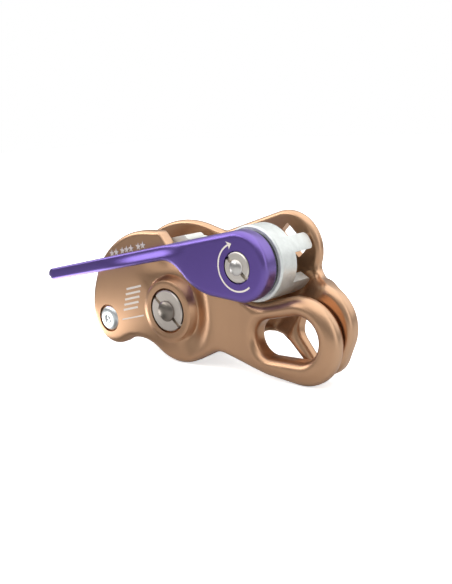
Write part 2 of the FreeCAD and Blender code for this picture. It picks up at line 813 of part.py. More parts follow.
def make_rear_plate():
    body = new_body("rear_plate")
    strip = new_sketch(body, "BentStrip", "XY_Plane")
    strip.AttachmentOffset = Placement(Vector(), Rotation(Vector(0, 1, 0), S.bend_angle.value))
    add_polygon(strip, rear_profile())
    blank = body.newObject("PartDesign::Pad", "BentStripPad")
    blank.Profile = strip
    blank.Midplane = True
    bind(blank, "Length", S.strip_width)
    finish(body, blank)
    bends_at = rear_profile()
    levels = bends_at[1:3] + bends_at[5:7]
    turn = math.radians(S.bend_angle.value)

    def on_bend(point):
        across = point.x * math.cos(turn) - point.z * math.sin(turn)
        return any(near(across, place) and near(point.y, level) for place, level in levels)

    bends = edges_of(blank, on_bend)
    dress(body, "Fillet", blank, bends, S.bend_round, "BendRound")
    # Everything outside the outline is trimmed away
    trim = new_sketch(body, "TrimOutline", offset=ZERO)
    frame = S.strip_width
    add_polygon(trim, [(-frame, -frame), (frame, -frame), (frame, frame), (-frame, frame)])
    add_outline(trim, rear_plate_outline())
    pocket(body, trim)
    eye = new_sketch(body, "RearEyeOutline", offset=ZERO)
    add_outline(eye, [
        fixed(REAR_FOOT_X, REAR_FOOT_Z, S.rear_foot_radius),
        fixed(REAR_EYE_X, REAR_EYE_Z, S.rear_eye_radius),
    ])
    eye_cut = pocket(body, eye)
    rounded = eye_cut
    for name, side in (("Front", -1), ("Back", 1)):
        edges = rim_edges(rounded, side, in_rear_eye)
        rounded = dress(body, "Fillet", rounded, edges, S.rear_eye_round, f"RearEye{name}Round")
    for name, side in (("Front", -1), ("Back", 1)):
        edges = rim_edges(rounded, side, lambda point: not in_rear_eye(point))
        rounded = dress(body, "Fillet", rounded, edges, S.rear_edge_round, f"Rear{name}Round")
    # Slanting window beside the crown's finger
    slot = new_sketch(body, "SlotOutline", offset=ZERO)
    add_slot(slot)
    pocket(body, slot)
    # Countersunk holes for the axles and plain ones for the rivets
    for name, x, z, radius, head, depth in (
            ("Main", ZERO, ZERO, S.axle_radius, S.head_radius, S.head_depth),
            ("Lever", S.lever_axis_x, S.lever_axis_z, S.lever_stub_radius,
             S.lever_rear_head_radius, S.lever_head_depth)):
        hole = new_sketch(body, name + "AxleHole", offset=ZERO)
        add_circle(hole, radius, x, z)
        pocket(body, hole)
        sink = new_sketch(body, name + "AxleSink", offset=REAR_BACK - depth)
        add_circle(sink, head, x, z)
        pocket(body, sink, depth + S.cut_overrun)
    for index, (x, z) in enumerate(friction_rivet_places()):
        hole = new_sketch(body, f"FrictionHole{index}", offset=ZERO)
        add_circle(hole, S.friction_rivet_radius, x, z)
        pocket(body, hole)
        sink = new_sketch(body, f"FrictionSink{index}",
                          offset=REAR_BACK - S.friction_rivet_sink)
        add_circle(sink, S.friction_rivet_head, x, z)
        pocket(body, sink, S.friction_rivet_sink + S.cut_overrun)
    return body


def add_slot(sketch):
    """A slanting slot with rounded corners."""
    angle = math.radians(S.slot_angle.value)
    along = (math.cos(angle), math.sin(angle))
    half_length = S.slot_length / 2 - S.slot_corner
    half_width = S.slot_width / 2 - S.slot_corner
    circles = []
    for end, side in ((-1, -1), (1, -1), (1, 1), (-1, 1)):
        x = SLOT_X + half_length * (end * along[0]) - half_width * (side * along[1])
        z = SLOT_Z + half_length * (end * along[1]) + half_width * (side * along[0])
        circles.append(fixed(x, z, S.slot_corner))
    add_outline(sketch, circles)


def make_main_axle():
    body = new_body("main_axle")
    domed(body, "MainAxleSection", S.thread_radius, S.dome_rise, -S.nut_rise, [
        (S.thread_radius, WASHER_BACK),
        (S.axle_radius, WASHER_BACK),
        (S.axle_radius, REAR_BACK - S.head_depth),
        (S.head_radius, REAR_BACK - S.head_depth),
        (S.head_radius, REAR_BACK),
        (ZERO, REAR_BACK),
    ])
    return body


def make_slotted_nut(label, x, z, inner, outer, front, thickness, slot_angle):
    """A round nut with a screwdriver slot right across its face."""
    body = new_body(label, x, ZERO, z)
    back = front + thickness
    turned(body, label + "Section", [
        (inner, front),
        (outer - S.fine_chamfer, front),
        (outer, front + S.fine_chamfer),
        (outer, back),
        (inner, back),
    ])
    slot = new_sketch(body, label + "Slot", offset=front - S.cut_overrun)
    angle = math.radians(-slot_angle.value)
    along = (math.cos(angle), math.sin(angle))
    half = S.nut_slot_width / 2
    reach = outer + S.cut_overrun
    corners = []
    for end, side in ((-1, -1), (1, -1), (1, 1), (-1, 1)):
        corners.append((reach * (end * along[0]) - half * (side * along[1]),
                        reach * (end * along[1]) + half * (side * along[0])))
    add_polygon(slot, corners)
    pocket(body, slot, S.cut_overrun + S.nut_slot_depth)
    return body


def make_washers():
    """The nut washer, the two thrust washers and the spring's collar on the main axle."""
    washers = (
        ("nut_washer", S.thread_radius, S.nut_radius, NUT_BACK, WASHER_BACK),
        ("front_thrust_washer", S.axle_radius, S.thrust_washer_radius,
         PLATE_BACK + S.running_fit, PLATE_BACK + S.running_fit + S.thrust_washer_thickness),
        ("spring_collar", S.axle_radius, S.cam_collar_radius,
         CAM_BACK + S.running_fit, REAR_FRONT),
    )
    for label, inner, outer, front, back in washers:
        tube(new_body(label), label + "Section", inner, outer, front, back)


# Cam with its rope groove, release nose and bush

def cam_outline(shrink):
    return [
        fixed(S.cam_foot_x, S.cam_foot_z, S.cam_foot_radius - shrink),
        fixed(S.cam_top_x, S.cam_top_z, S.cam_top_radius - shrink),
    ]


def make_cam():
    body = new_body("cam")
    core = new_sketch(body, "CamCore", offset=CAM_FRONT)
    add_outline(core, cam_outline(S.groove_depth))
    pad(body, core, S.cam_width)
    cheeks = (("FrontCheek", CAM_FRONT), ("RearCheek", CAM_BACK - S.cam_cheek))
    for name, start in cheeks:
        cheek = new_sketch(body, name, offset=start)
        add_outline(cheek, cam_outline(ZERO))
        pad(body, cheek, S.cam_cheek)
    # The brow closes the groove above the rope and has a flat, sloping top
    brow = new_sketch(body, "BrowOutline", offset=CAM_FRONT)
    add_outline(brow, [
        fixed(S.cam_foot_x, S.cam_foot_z, S.brow_foot_radius),
        fixed(S.brow_right_x, S.brow_right_z, S.brow_round),
        fixed(S.brow_left_x, S.brow_left_z, S.brow_round),
    ])
    pad(body, brow, S.cam_width)
    # The release nose is part of the rear cheek
    nose = new_sketch(body, "NoseOutline", offset=CAM_BACK - S.cam_cheek)
    add_outline(nose, [
        fixed(S.nose_x, S.nose_z, S.nose_radius),
        fixed(S.cam_top_x, S.cam_top_z, S.cam_top_radius - S.groove_depth),
    ])
    pad(body, nose, S.cam_cheek)
    bore = new_sketch(body, "CamBore", offset=ZERO)
    add_circle(bore, S.axle_radius + S.running_fit + S.cam_bush_wall)
    bored = pocket(body, bore)
    inner_faces = (CAM_FRONT + S.cam_cheek, CAM_BACK - S.cam_cheek)
    def at_groove_mouth(point):
        off = min(radius_at(point, S.cam_foot_x, S.cam_foot_z) - S.cam_foot_radius.value,
                  radius_at(point, S.cam_top_x, S.cam_top_z) - S.cam_top_radius.value)
        on_face = any(near(point.y, face) for face in inner_faces)
        return on_face and abs(off) < S.pick_slack.value

    edges = edges_of(bored, at_groove_mouth)
    dress(body, "Chamfer", bored, edges, S.groove_flare, "GrooveFlare")
    return body


def make_cam_bush():
    bore = S.axle_radius + S.running_fit
    body = new_body("cam_bush")
    tube(body, "CamBushSection", bore, bore + S.cam_bush_wall, CAM_FRONT, CAM_BACK)
    return body


def make_spiral(label, x, z, wire, radius, pitch, half_turns, start):
    """A flat spiral spring of round wire about the Y axis, in half turns that grow outwards."""
    body = new_body(label, x, ZERO, z)
    middle = start + wire / 2
    path = new_sketch(body, label + "Path", offset=middle)
    step = pitch / 2
    reach = radius
    for turn in range(half_turns):
        centre = step if turn % 2 else ZERO
        circle = Part.Circle(Vector(centre.value, 0, 0), Vector(0, 0, 1), reach.value)
        first = math.pi * (turn % 2)
        edge = path.addGeometry(Part.ArcOfCircle(circle, first, first + math.pi), False)
        limit(path, "Radius", edge, size=reach)
        pin_point(path, edge, 3, centre, ZERO)
        for end in (1, 2):
            path.addConstraint(Sketcher.Constraint("PointOnObject", edge, end, -1))
        reach = reach + step
    section = new_sketch(body, label + "Wire", "XY_Plane")
    add_circle(section, wire / 2, radius, middle)
    doc.recompute()
    sweep = body.newObject("PartDesign::AdditivePipe", label + "Sweep")
    sweep.Profile = section
    sweep.Spine = (path, [])
    return finish(body, sweep)


# Friction plate that the cam presses the rope against

def friction_arc(sketch, inner, outer):
    first = math.radians(S.friction_first_angle.value)
    last = math.radians(S.friction_last_angle.value)
    axis = Vector(0, 0, 1)
    arcs = [sketch.addGeometry(
        Part.ArcOfCircle(Part.Circle(Vector(), axis, radius.value), first, last), False)
        for radius in (inner, outer)]
    for edge, radius in zip(arcs, (inner, outer)):
        limit(sketch, "Radius", edge, size=radius)
        pin_point(sketch, edge, 3, ZERO, ZERO)
    for end, angle in ((1, first), (2, last)):
        points = [Vector(radius.value * math.cos(angle), radius.value * math.sin(angle), 0)
                  for radius in (inner, outer)]
        line = sketch.addGeometry(Part.LineSegment(*points), False)
        sketch.addConstraint(Sketcher.Constraint("Coincident", arcs[0], end, line, 1))
        sketch.addConstraint(Sketcher.Constraint("Coincident", arcs[1], end, line, 2))
        for edge, radius in zip(arcs, (inner, outer)):
            limit(sketch, "DistanceY", -1, 1, edge, end, size=radius * math.sin(angle))


def friction_rivet_places():
    middle = (S.friction_first_angle.value + S.friction_last_angle.value) / 2
    spread = S.friction_rivet_angle.value / 2
    radius = S.friction_radius - S.friction_rivet_inset
    angles = [math.radians(middle + side * spread) for side in (-1, 1)]
    return [(radius * math.cos(angle), radius * math.sin(angle)) for angle in angles]


def make_friction_plate():
    body = new_body("friction_plate")
    wall = new_sketch(body, "FrictionWall", offset=PLATE_BACK + S.side_gap)
    friction_arc(wall, S.friction_radius, S.friction_radius + S.friction_wall)
    pad(body, wall, S.rope_channel - S.side_gap)
    flange = new_sketch(body, "FrictionFlange", offset=REAR_FRONT - S.friction_flange_thickness)
    friction_arc(flange, S.friction_radius - S.friction_flange,
                 S.friction_radius + S.friction_flange_lap)
    pad(body, flange, S.friction_flange_thickness)
    for index, (x, z) in enumerate(friction_rivet_places()):
        hole = new_sketch(body, f"FlangeHole{index}", offset=ZERO)
        add_circle(hole, S.friction_rivet_radius, x, z)
        pocket(body, hole)
    return body


def make_friction_rivets():
    """Two countersunk rivets kept together as one sub-part."""
    body = new_body("friction_rivets")
    front = REAR_FRONT - S.friction_flange_thickness
    sink = REAR_BACK - S.friction_rivet_sink
    for index, (x, z) in enumerate(friction_rivet_places()):
        shank = new_sketch(body, f"RivetShank{index}", offset=front)
        add_circle(shank, S.friction_rivet_radius, x, z)
        shank_pad = body.newObject("PartDesign::Pad", f"RivetShankPad{index}")
        head = new_sketch(body, f"RivetHead{index}", offset=sink)
        add_circle(head, S.friction_rivet_head, x, z)
        head_pad = body.newObject("PartDesign::Pad", f"RivetHeadPad{index}")
        for feature, sketch, length in ((shank_pad, shank, REAR_BACK - front),
                                        (head_pad, head, REAR_BACK - sink)):
            feature.Profile = sketch
            feature.Reversed = True
            bind(feature, "Length", length)
            finish(body, feature)
    return body


# Release lever, its crown and what carries them

def make_lever():
    body = new_body("release_lever")
    outline = new_sketch(body, "LeverOutline", offset=LEVER_FRONT)
    add_outline(outline, [
        fixed(S.lever_axis_x, S.lever_axis_z, S.lever_head_radius),
        fixed(S.lever_tip_x, S.lever_tip_z, S.lever_tip_radius),
        fixed(S.lever_hollow_x, S.lever_hollow_z, S.lever_hollow_radius, -1),
        fixed(CHEEK_X, CHEEK_Z, S.lever_cheek_radius),
    ])
    blank = pad(body, outline, S.lever_thickness)
    edges = edges_of(blank, lambda point: near(point.y, LEVER_FRONT))
    rounded = dress(body, "Fillet", blank, edges, S.lever_round, "LeverFrontRound")
    edges = edges_of(rounded, lambda point: near(point.y, LEVER_BACK))
    dress(body, "Fillet", rounded, edges, S.small_round, "LeverBackRound")
    recess = new_sketch(body, "LeverRecess", offset=LEVER_FRONT - S.cut_overrun)
    add_circle(recess, S.lever_nut_radius + S.side_gap, S.lever_axis_x, S.lever_axis_z)
    pocket(body, recess, LEVER_NUT_BACK + S.bush_gap - LEVER_FRONT + S.cut_overrun)
    bore = new_sketch(body, "LeverBore", offset=ZERO)
    add_circle(bore, lever_bush_radius(), S.lever_axis_x, S.lever_axis_z)
    pocket(body, bore)
    for index, (x, z) in enumerate(drive_pin_places()):
        hole = new_sketch(body, f"LeverPinHole{index}", offset=LEVER_BACK - S.pin_depth)
        add_circle(hole, S.pin_radius, S.lever_axis_x + x, S.lever_axis_z + z)
        pocket(body, hole, S.pin_depth + S.cut_overrun)
    return body


def lever_bush_radius():
    return S.lever_axle_radius + S.running_fit + S.lever_bush_wall


def drive_pin_places(count=3):
    angles = [2 * math.pi * index / count + math.pi / 2 for index in range(count)]
    return [(S.pin_circle * math.cos(angle), S.pin_circle * math.sin(angle)) for angle in angles]


def make_drive_pins():
    """Three pins that turn the crown with the lever."""
    body = new_body("drive_pins", S.lever_axis_x, ZERO, S.lever_axis_z)
    front = LEVER_BACK - S.pin_depth
    for index, (x, z) in enumerate(drive_pin_places()):
        sketch = new_sketch(body, f"DrivePin{index}", offset=front)
        add_circle(sketch, S.pin_radius, x, z)
        pad(body, sketch, S.drum_web - front)
    return body


def make_lever_bush():
    body = new_body("lever_bush", S.lever_axis_x, ZERO, S.lever_axis_z)
    bore = S.lever_axle_radius + S.running_fit
    tube(body, "LeverBushSection", bore, lever_bush_radius(),
         LEVER_NUT_BACK + S.bush_gap, S.drum_depth)
    return body


def make_lever_axle():
    body = new_body("lever_axle", S.lever_axis_x, ZERO, S.lever_axis_z)
    collar_front = S.drum_depth + S.running_fit
    collar_back = collar_front + S.lever_collar_length
    domed(body, "LeverAxleSection", S.lever_thread_radius, S.lever_dome_rise, LEVER_NUT_FRONT, [
        (S.lever_thread_radius, LEVER_NUT_BACK),
        (S.lever_axle_radius, LEVER_NUT_BACK),
        (S.lever_axle_radius, collar_front),
        (S.lever_collar_radius, collar_front),
        (S.lever_collar_radius, collar_back),
        (S.lever_stub_radius, collar_back),
        (S.lever_stub_radius, REAR_BACK - S.lever_head_depth),
        (S.lever_rear_head_radius, REAR_BACK - S.lever_head_depth),
        (S.lever_rear_head_radius, REAR_BACK),
        (ZERO, REAR_BACK),
    ])
    return body


def make_spacer():
    body = new_body("lever_spacer", S.lever_axis_x, ZERO, S.lever_axis_z)
    tube(body, "SpacerSection", lever_bush_radius() + S.running_fit, S.spacer_radius,
         LEVER_BACK, ZERO)
    for index, (x, z) in enumerate(drive_pin_places()):
        hole = new_sketch(body, f"SpacerHole{index}", offset=ZERO)
        add_circle(hole, S.pin_radius, x, z)
        pocket(body, hole)
    return body


def make_crown():
    """The steel drum behind the lever with its finger, tooth and release dog."""
    body = new_body("crown_drum", S.lever_axis_x, ZERO, S.lever_axis_z)
    bore = lever_bush_radius()
    inner = S.drum_radius - S.drum_wall
    turned(body, "CrownSection", [
        (bore, ZERO),
        (S.drum_radius - S.drum_chamfer, ZERO),
        (S.drum_radius, S.drum_chamfer),
        (S.drum_radius, CROWN_BACK),
        (inner, CROWN_BACK),
        (inner, S.drum_web),
        (bore + S.drum_hub_wall, S.drum_web),
        (bore + S.drum_hub_wall, S.drum_depth),
        (bore, S.drum_depth),
    ])
    half_finger = math.degrees(S.finger_width.value / S.drum_radius.value / 2)
    prongs = [
        (S.tooth_first_angle.value, S.tooth_last_angle.value),
        (S.finger_angle.value - half_finger, S.finger_angle.value + half_finger),
        (S.dog_first_angle.value, S.dog_last_angle.value),
    ]
    full_turn = 360.0
    gaps = [(prongs[index][1], prongs[(index + 1) % 3][0] + full_turn * (index == 2))
            for index in range(3)]
    for index, (first, last) in enumerate(gaps):
        cut = new_sketch(body, f"CrownGap{index}", offset=S.drum_depth)
        sector(cut, first, last, S.gap_reach)
        crown = pocket(body, cut, S.prong_length + S.cut_overrun)
    back = CROWN_BACK.value

    def rear_corner(angle, point):
        turn = math.degrees(math.atan2(point.z, point.x))
        off = (turn - angle + full_turn / 2) % full_turn - full_turn / 2
        return abs(point.y - back) < 0.01 and abs(off) < 0.5

    corners = edges_of(crown, lambda point: rear_corner(S.tooth_first_angle.value, point))
    crown = dress(body, "Fillet", crown, corners, S.tooth_round, "ToothRound")
    small = []
    for angle in prongs[1] + prongs[2] + prongs[0][1:]:
        small += edges_of(crown, lambda point, angle=angle: rear_corner(angle, point))
    dress(body, "Fillet", crown, small, S.prong_round, "ProngRound")
    for index, (x, z) in enumerate(drive_pin_places()):
        hole = new_sketch(body, f"CrownPinHole{index}", offset=-S.cut_overrun)
        add_circle(hole, S.pin_radius, x, z)
        pocket(body, hole, S.cut_overrun + S.drum_web + S.pin_end_gap)
    return body


make_front_plate()
make_wear_insert()
make_wear_rivet()
make_front_bush()
make_rear_plate()
make_main_axle()
make_slotted_nut("main_nut", ZERO, ZERO, S.thread_radius, S.nut_radius, -S.nut_rise,
                 S.nut_thickness, S.nut_slot_angle)
make_washers()
make_cam()
make_cam_bush()
make_spiral("cam_spring", ZERO, ZERO, S.cam_spring_wire, S.cam_spring_radius,
            S.cam_spring_pitch, 4, CAM_BACK + S.running_fit)
make_friction_plate()
make_friction_rivets()
make_lever()
make_drive_pins()
make_lever_bush()
make_lever_axle()
make_slotted_nut("lever_nut", S.lever_axis_x, S.lever_axis_z, S.lever_thread_radius,
                 S.lever_nut_radius, LEVER_NUT_FRONT, S.lever_nut_thickness, S.nut_slot_angle)
make_spacer()
make_crown()
make_spiral("lever_spring", S.lever_axis_x, S.lever_axis_z, S.lever_spring_wire,
            S.lever_spring_radius, S.lever_spring_pitch, 2, S.drum_web + S.running_fit)
doc.recompute()

faulty = [item.Name for item in doc.Objects if {"Invalid", "Error"} & set(item.State)]
if faulty:
    raise RuntimeError("These objects failed: " + ", ".join(faulty))
for body in bodies:
    if body.Shape.isNull() or not body.Shape.isValid():
        raise RuntimeError("This shape is not sound: " + body.Label)

os.makedirs("parts", exist_ok=True)
for body in bodies:
    body.Shape.exportStep(f"parts/{body.Label}.step")
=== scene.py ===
import json
import math

import bmesh
import bpy
import numpy as np
from bpy.props import FloatProperty, FloatVectorProperty, IntProperty, PointerProperty
from mathutils import Matrix, Vector
from mathutils.geometry import delaunay_2d_cdt


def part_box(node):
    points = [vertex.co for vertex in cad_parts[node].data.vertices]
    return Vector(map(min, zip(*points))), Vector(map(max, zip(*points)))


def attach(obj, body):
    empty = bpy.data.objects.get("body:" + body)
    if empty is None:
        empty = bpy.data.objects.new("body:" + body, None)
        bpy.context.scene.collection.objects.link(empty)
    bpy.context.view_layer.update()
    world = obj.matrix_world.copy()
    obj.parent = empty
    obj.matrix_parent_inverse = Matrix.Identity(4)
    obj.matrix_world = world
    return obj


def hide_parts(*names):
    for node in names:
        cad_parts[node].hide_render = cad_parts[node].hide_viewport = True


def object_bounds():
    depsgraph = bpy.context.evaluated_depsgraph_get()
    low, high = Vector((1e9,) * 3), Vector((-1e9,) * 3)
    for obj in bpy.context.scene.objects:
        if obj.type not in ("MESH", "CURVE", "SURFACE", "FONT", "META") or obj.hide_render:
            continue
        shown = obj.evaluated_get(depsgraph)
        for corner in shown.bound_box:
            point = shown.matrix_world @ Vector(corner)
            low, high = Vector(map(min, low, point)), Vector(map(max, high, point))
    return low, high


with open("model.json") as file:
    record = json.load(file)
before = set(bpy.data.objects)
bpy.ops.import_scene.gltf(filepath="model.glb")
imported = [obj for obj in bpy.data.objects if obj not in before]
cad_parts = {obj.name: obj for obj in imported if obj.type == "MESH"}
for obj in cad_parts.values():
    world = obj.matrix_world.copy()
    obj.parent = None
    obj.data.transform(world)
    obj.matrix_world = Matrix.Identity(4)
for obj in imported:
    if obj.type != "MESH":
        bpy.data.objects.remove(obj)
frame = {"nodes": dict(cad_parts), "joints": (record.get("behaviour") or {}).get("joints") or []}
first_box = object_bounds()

bl_info = {
    "name": "Belay Device",
    "version": (1, 0, 0),
    "blender": (4, 5, 0),
    "location": "View3D > Sidebar > Belay Device",
    "description": "Dresses the assisted braking belay device and sets up its studio",
    "category": "Object",
}

MM = 0.001

# Layers along Y and axes, in millimetres from the main axle at the boss face
PLATE_FRONT, PLATE_BACK, RIM_BACK = 0.5, 4.7, 6.8
REAR_FRONT, REAR_BACK = 15.2, 17.9
LOBE_FRONT, LOBE_BACK = 7.4, 11.8
LEVER_FRONT, LEVER_BACK = -6.0, -0.9
LEVER_AXIS = (33.1, 16.65)
WEAR_RIVET = (-26.9, -5.5)
EYE = [(37.305, -3.982, 5.3), (46.705, -2.882, 6.2)]
REAR_EYE = [(49.805, -6.382, 4.2), (47.605, -0.982, 5.8)]


def find_home():
    """The main axle's axis at the boss face, in metres in the frame."""
    swing = next(item for item in frame["joints"] if item["name"] == "plate_swing")
    x, _, z = swing["pos_m"]
    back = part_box("rear_plate")[1].y
    return Vector((x, back - REAR_BACK * MM, z))


HOME = find_home()


def place(x, y, z):
    """A point in metres from millimetres measured at the main axle."""
    return HOME + Vector((x, y, z)) * MM


# Outlines of circles joined by tangents, as (x, z, radius, side); x is None for a blend

def blend_centre(before, radius, side, after):
    reaches = [abs(other[2] - radius) if other[3] == side else other[2] + radius
               for other in (before, after)]
    start, end = Vector(before[:2]), Vector(after[:2])
    chord = end - start
    along = (reaches[0] ** 2 - reaches[1] ** 2 + chord.length ** 2) / (2 * chord.length)
    wide = radius > max(before[2], after[2])
    left = 1 if side == 1 and wide else -1
    height = math.sqrt(max(reaches[0] ** 2 - along ** 2, 0)) * left
    chord.normalize()
    return start + chord * along + Vector((-chord.y, chord.x)) * height


def tangent_points(start, end):
    chord = end["centre"] - start["centre"]
    first, last = start["side"] * start["radius"], end["side"] * end["radius"]
    ratio = max(-1.0, min(1.0, (last - first) / chord.length))
    heading = math.atan2(chord.y, chord.x) - math.asin(ratio)
    left = Vector((-math.sin(heading), math.cos(heading)))
    return start["centre"] - left * first, end["centre"] - left * last


def outline(circles, step):
    """Points round the outline, anticlockwise about the solid, at most step apart."""
    rounds = []
    count = len(circles)
    for index, (x, z, radius, side) in enumerate(circles):
        if x is None:
            centre = blend_centre(circles[index - 1], radius, side, circles[(index + 1) % count])
        else:
            centre = Vector((x, z))
        rounds.append({"centre": centre, "radius": radius, "side": side})
    joints = [tangent_points(item, rounds[(index + 1) % count])
              for index, item in enumerate(rounds)]
    points = []
    for index, item in enumerate(rounds):
        start, end = joints[index - 1][1], joints[index][0]
        first = math.atan2(*(start - item["centre"]).yx)
        last = math.atan2(*(end - item["centre"]).yx)
        sweep = (last - first) * item["side"] % math.tau
        if sweep > math.tau - 0.02:
            sweep = 0.0
        pieces = max(2, math.ceil(sweep * item["radius"] / step))
        for part in range(pieces + 1):
            angle = first + item["side"] * sweep * part / pieces
            points.append(item["centre"]
                          + Vector((math.cos(angle), math.sin(angle))) * item["radius"])
        ahead = joints[index][1]
        pieces = max(1, math.ceil((ahead - end).length / step))
        points += [end.lerp(ahead, part / pieces) for part in range(1, pieces)]
    kept, near = [], step * 0.2
    for point in points:
        if not kept or (point - kept[-1]).length > near:
            kept.append(point)
    if (kept[0] - kept[-1]).length < near:
        kept.pop()
    return np.array([tuple(point) for point in kept])


def circle_loop(x, z, radius, count=72):
    angles = np.linspace(0, math.tau, count, endpoint=False)
    return np.stack([x + radius * np.cos(angles), z + radius * np.sin(angles)], 1)


def distance_to(loop, points, block=2000):
    """How far each point is from a closed loop, in millimetres, worked out block by block."""
    spans = np.roll(loop, -1, axis=0) - loop
    lengths = np.maximum((spans ** 2).sum(1), 1e-12)
    nearest = np.empty(len(points))
    for first in range(0, len(points), block):
        offset = points[first:first + block, None, :] - loop[None]
        share = np.clip((offset * spans[None]).sum(2) / lengths[None], 0, 1)
        gap = offset - spans[None] * share[..., None]
        nearest[first:first + block] = np.sqrt((gap ** 2).sum(2).min(1))
    return nearest


def inside_of(loop, points):
    """True for each point inside a closed loop."""
    inside = np.zeros(len(points), bool)
    following = np.roll(loop, -1, axis=0)
    for (x0, z0), (x1, z1) in zip(loop, following):
        crosses = (z0 > points[:, 1]) != (z1 > points[:, 1])
        if crosses.any():
            at = x0 + (points[:, 1] - z0) / (z1 - z0 + 1e-30) * (x1 - x0)
            inside ^= crosses & (points[:, 0] < at)
    return inside


def within(outer, holes, points):
    """True for each point inside the outer loop and outside every hole."""
    inside = inside_of(outer, points)
    for hole in holes:
        inside &= ~inside_of(hole, points)
    return inside


def smooth(value, low, high):
    share = np.clip((value - low) / (high - low), 0, 1)
    return share * share * (3 - 2 * share)


def quarter_round(gap, radius):
    """Depth of a rounded edge at a distance from the edge."""
    reach = np.clip(radius - gap, 0, radius)
    return radius - np.sqrt(np.maximum(radius ** 2 - reach ** 2, 0))


def soft_max(first, second, width):
    """The larger of two surfaces with a soft join."""
    gap = first - second
    return (first + second + np.sqrt(gap * gap + width * width)) / 2


# Sheets of triangles between outlines, whose depth follows a formula

ROW_PITCH = 0.866
# Width in mm over which the painted highlight along the outer edge fades inwards
RIM_HIGHLIGHT_WIDTH = 0.7


class Skin:
    """Collects the front, back and wall faces of one forged piece."""

    def __init__(self):
        self.points = []
        self.faces = []
        self.rim = []

    def add_points(self, flat, depths, rim=None):
        first = len(self.points)
        rim = np.zeros(len(flat)) if rim is None else rim
        for (x, z), y, share in zip(flat, depths, rim):
            self.points.append(tuple(place(x, y, z)))
            self.rim.append(float(share))
        return list(range(first, first + len(flat)))

    def sheet(self, outer, holes, depth, towards_front, insets, grid,
              rows=None, ruled=None, to_edge=False):
        """One side of the piece; returns the indices of the outer loop and of each hole.

        Rows are given points that take the lattice's place where ruled says so, and
        with to_edge also the place of the rings along the edges.
        """
        loops = [outer] + holes
        fixed = np.concatenate(loops)
        edges, start = [], 0
        for loop in loops:
            count = len(loop)
            edges += [(start + k, start + (k + 1) % count) for k in range(count)]
            start += count
        low, high = outer.min(0), outer.max(0)
        lattice = []
        for number, z in enumerate(np.arange(low[1], high[1], grid * ROW_PITCH)):
            xs = np.arange(low[0] + (number % 2) * grid / 2, high[0], grid)
            lattice.append(np.stack([xs, np.full(len(xs), z)], 1))
        lattice = np.concatenate(lattice)
        if rows is not None:
            lattice = lattice[~ruled(lattice)]
            if not to_edge:
                lattice = np.concatenate([lattice, rows])
        lattice = lattice[within(outer, holes, lattice)]
        gap = np.min([distance_to(loop, lattice) for loop in loops], axis=0)
        lattice = lattice[gap > max(insets) + grid * 0.5]
        rings = []
        for loop in loops:
            along = np.roll(loop, -1, axis=0) - np.roll(loop, 1, axis=0)
            along /= np.linalg.norm(along, axis=1)[:, None]
            left = np.stack([-along[:, 1], along[:, 0]], 1)
            inward = left if loop is outer else -left
            for inset in insets:
                ring = loop + inward * inset
                keep = np.min([distance_to(other, ring) for other in loops], axis=0)
                rings.append(ring[keep > inset * 0.97])
        if to_edge:
            rings = [ring[~ruled(ring)] for ring in rings] + [rows]
        extra = np.concatenate(rings + [lattice])
        extra = extra[within(outer, holes, extra)]
        flat = np.concatenate([fixed, extra])
        made, _, triangles, origins, _, _ = delaunay_2d_cdt(
            [Vector(point) for point in flat], edges, [], 0, 1e-5)
        made = np.array([tuple(point) for point in made])
        order = {}
        for index, sources in enumerate(origins):
            for source in sources:
                order[source] = index
        middles = np.array([made[list(face)].mean(0) for face in triangles])
        # Each point's rim share paints a highlight that is strongest at the outer edge
        base = self.add_points(made, depth(made), np.exp(-distance_to(outer, made) / RIM_HIGHLIGHT_WIDTH))
        for face, used in zip(triangles, within(outer, holes, middles)):
            if not used:
                continue
            a, b, c = (made[k] for k in face)
            turn = (b[0] - a[0]) * (c[1] - a[1]) - (b[1] - a[1]) * (c[0] - a[0])
            face = list(face) if (turn > 0) == towards_front else list(face)[::-1]
            self.faces.append([base[k] for k in face])
        found, start = [], 0
        for loop in loops:
            found.append([base[order[start + k]] for k in range(len(loop))])
            start += len(loop)
        return found

    def bridge(self, front, back, outward=False):
        """Walls between two loops of the same length; outward for the outer boundary."""
        count = len(front)
        for k in range(count):
            nxt = (k + 1) % count
            quad = [front[k], back[k], back[nxt], front[nxt]]
            self.faces.append(quad[::-1] if outward else quad)

    def bore(self, front, steps, back):
        """Walls of a hole from one face over loops at given depths to the other face."""
        rings = [front]
        rings += [self.add_points(loop, np.full(len(loop), y)) for loop, y in steps]
        rings.append(back)
        for first, second in zip(rings, rings[1:]):
            self.bridge(first, second)

    def build(self, name):
        mesh = bpy.data.meshes.new(name)
        mesh.from_pydata(self.points, [], self.faces)
        mesh.validate()
        # The rim share goes to the finishes, which paint the edge highlight with it
        rim = mesh.attributes.new("rim", "FLOAT", "POINT")
        rim.data.foreach_set("value", self.rim[:len(mesh.vertices)])
        work = bmesh.new()
        work.from_mesh(mesh)
        loose = [vert for vert in work.verts if not vert.link_faces]
        bmesh.ops.delete(work, geom=loose, context="VERTS")
        bmesh.ops.remove_doubles(work, verts=work.verts, dist=1e-7)
        bmesh.ops.recalc_face_normals(work, faces=work.faces)
        work.to_mesh(mesh)
        work.free()
        return finish_mesh(name, mesh)


def finish_mesh(name, mesh, sharp=35):
    """Links a mesh at the origin and shades it smooth up to the sharp angle."""
    piece = bpy.data.objects.new(name, mesh)
    bpy.context.scene.collection.objects.link(piece)
    mesh.shade_smooth()
    mesh.set_sharp_from_angle(angle=math.radians(sharp))
    return piece


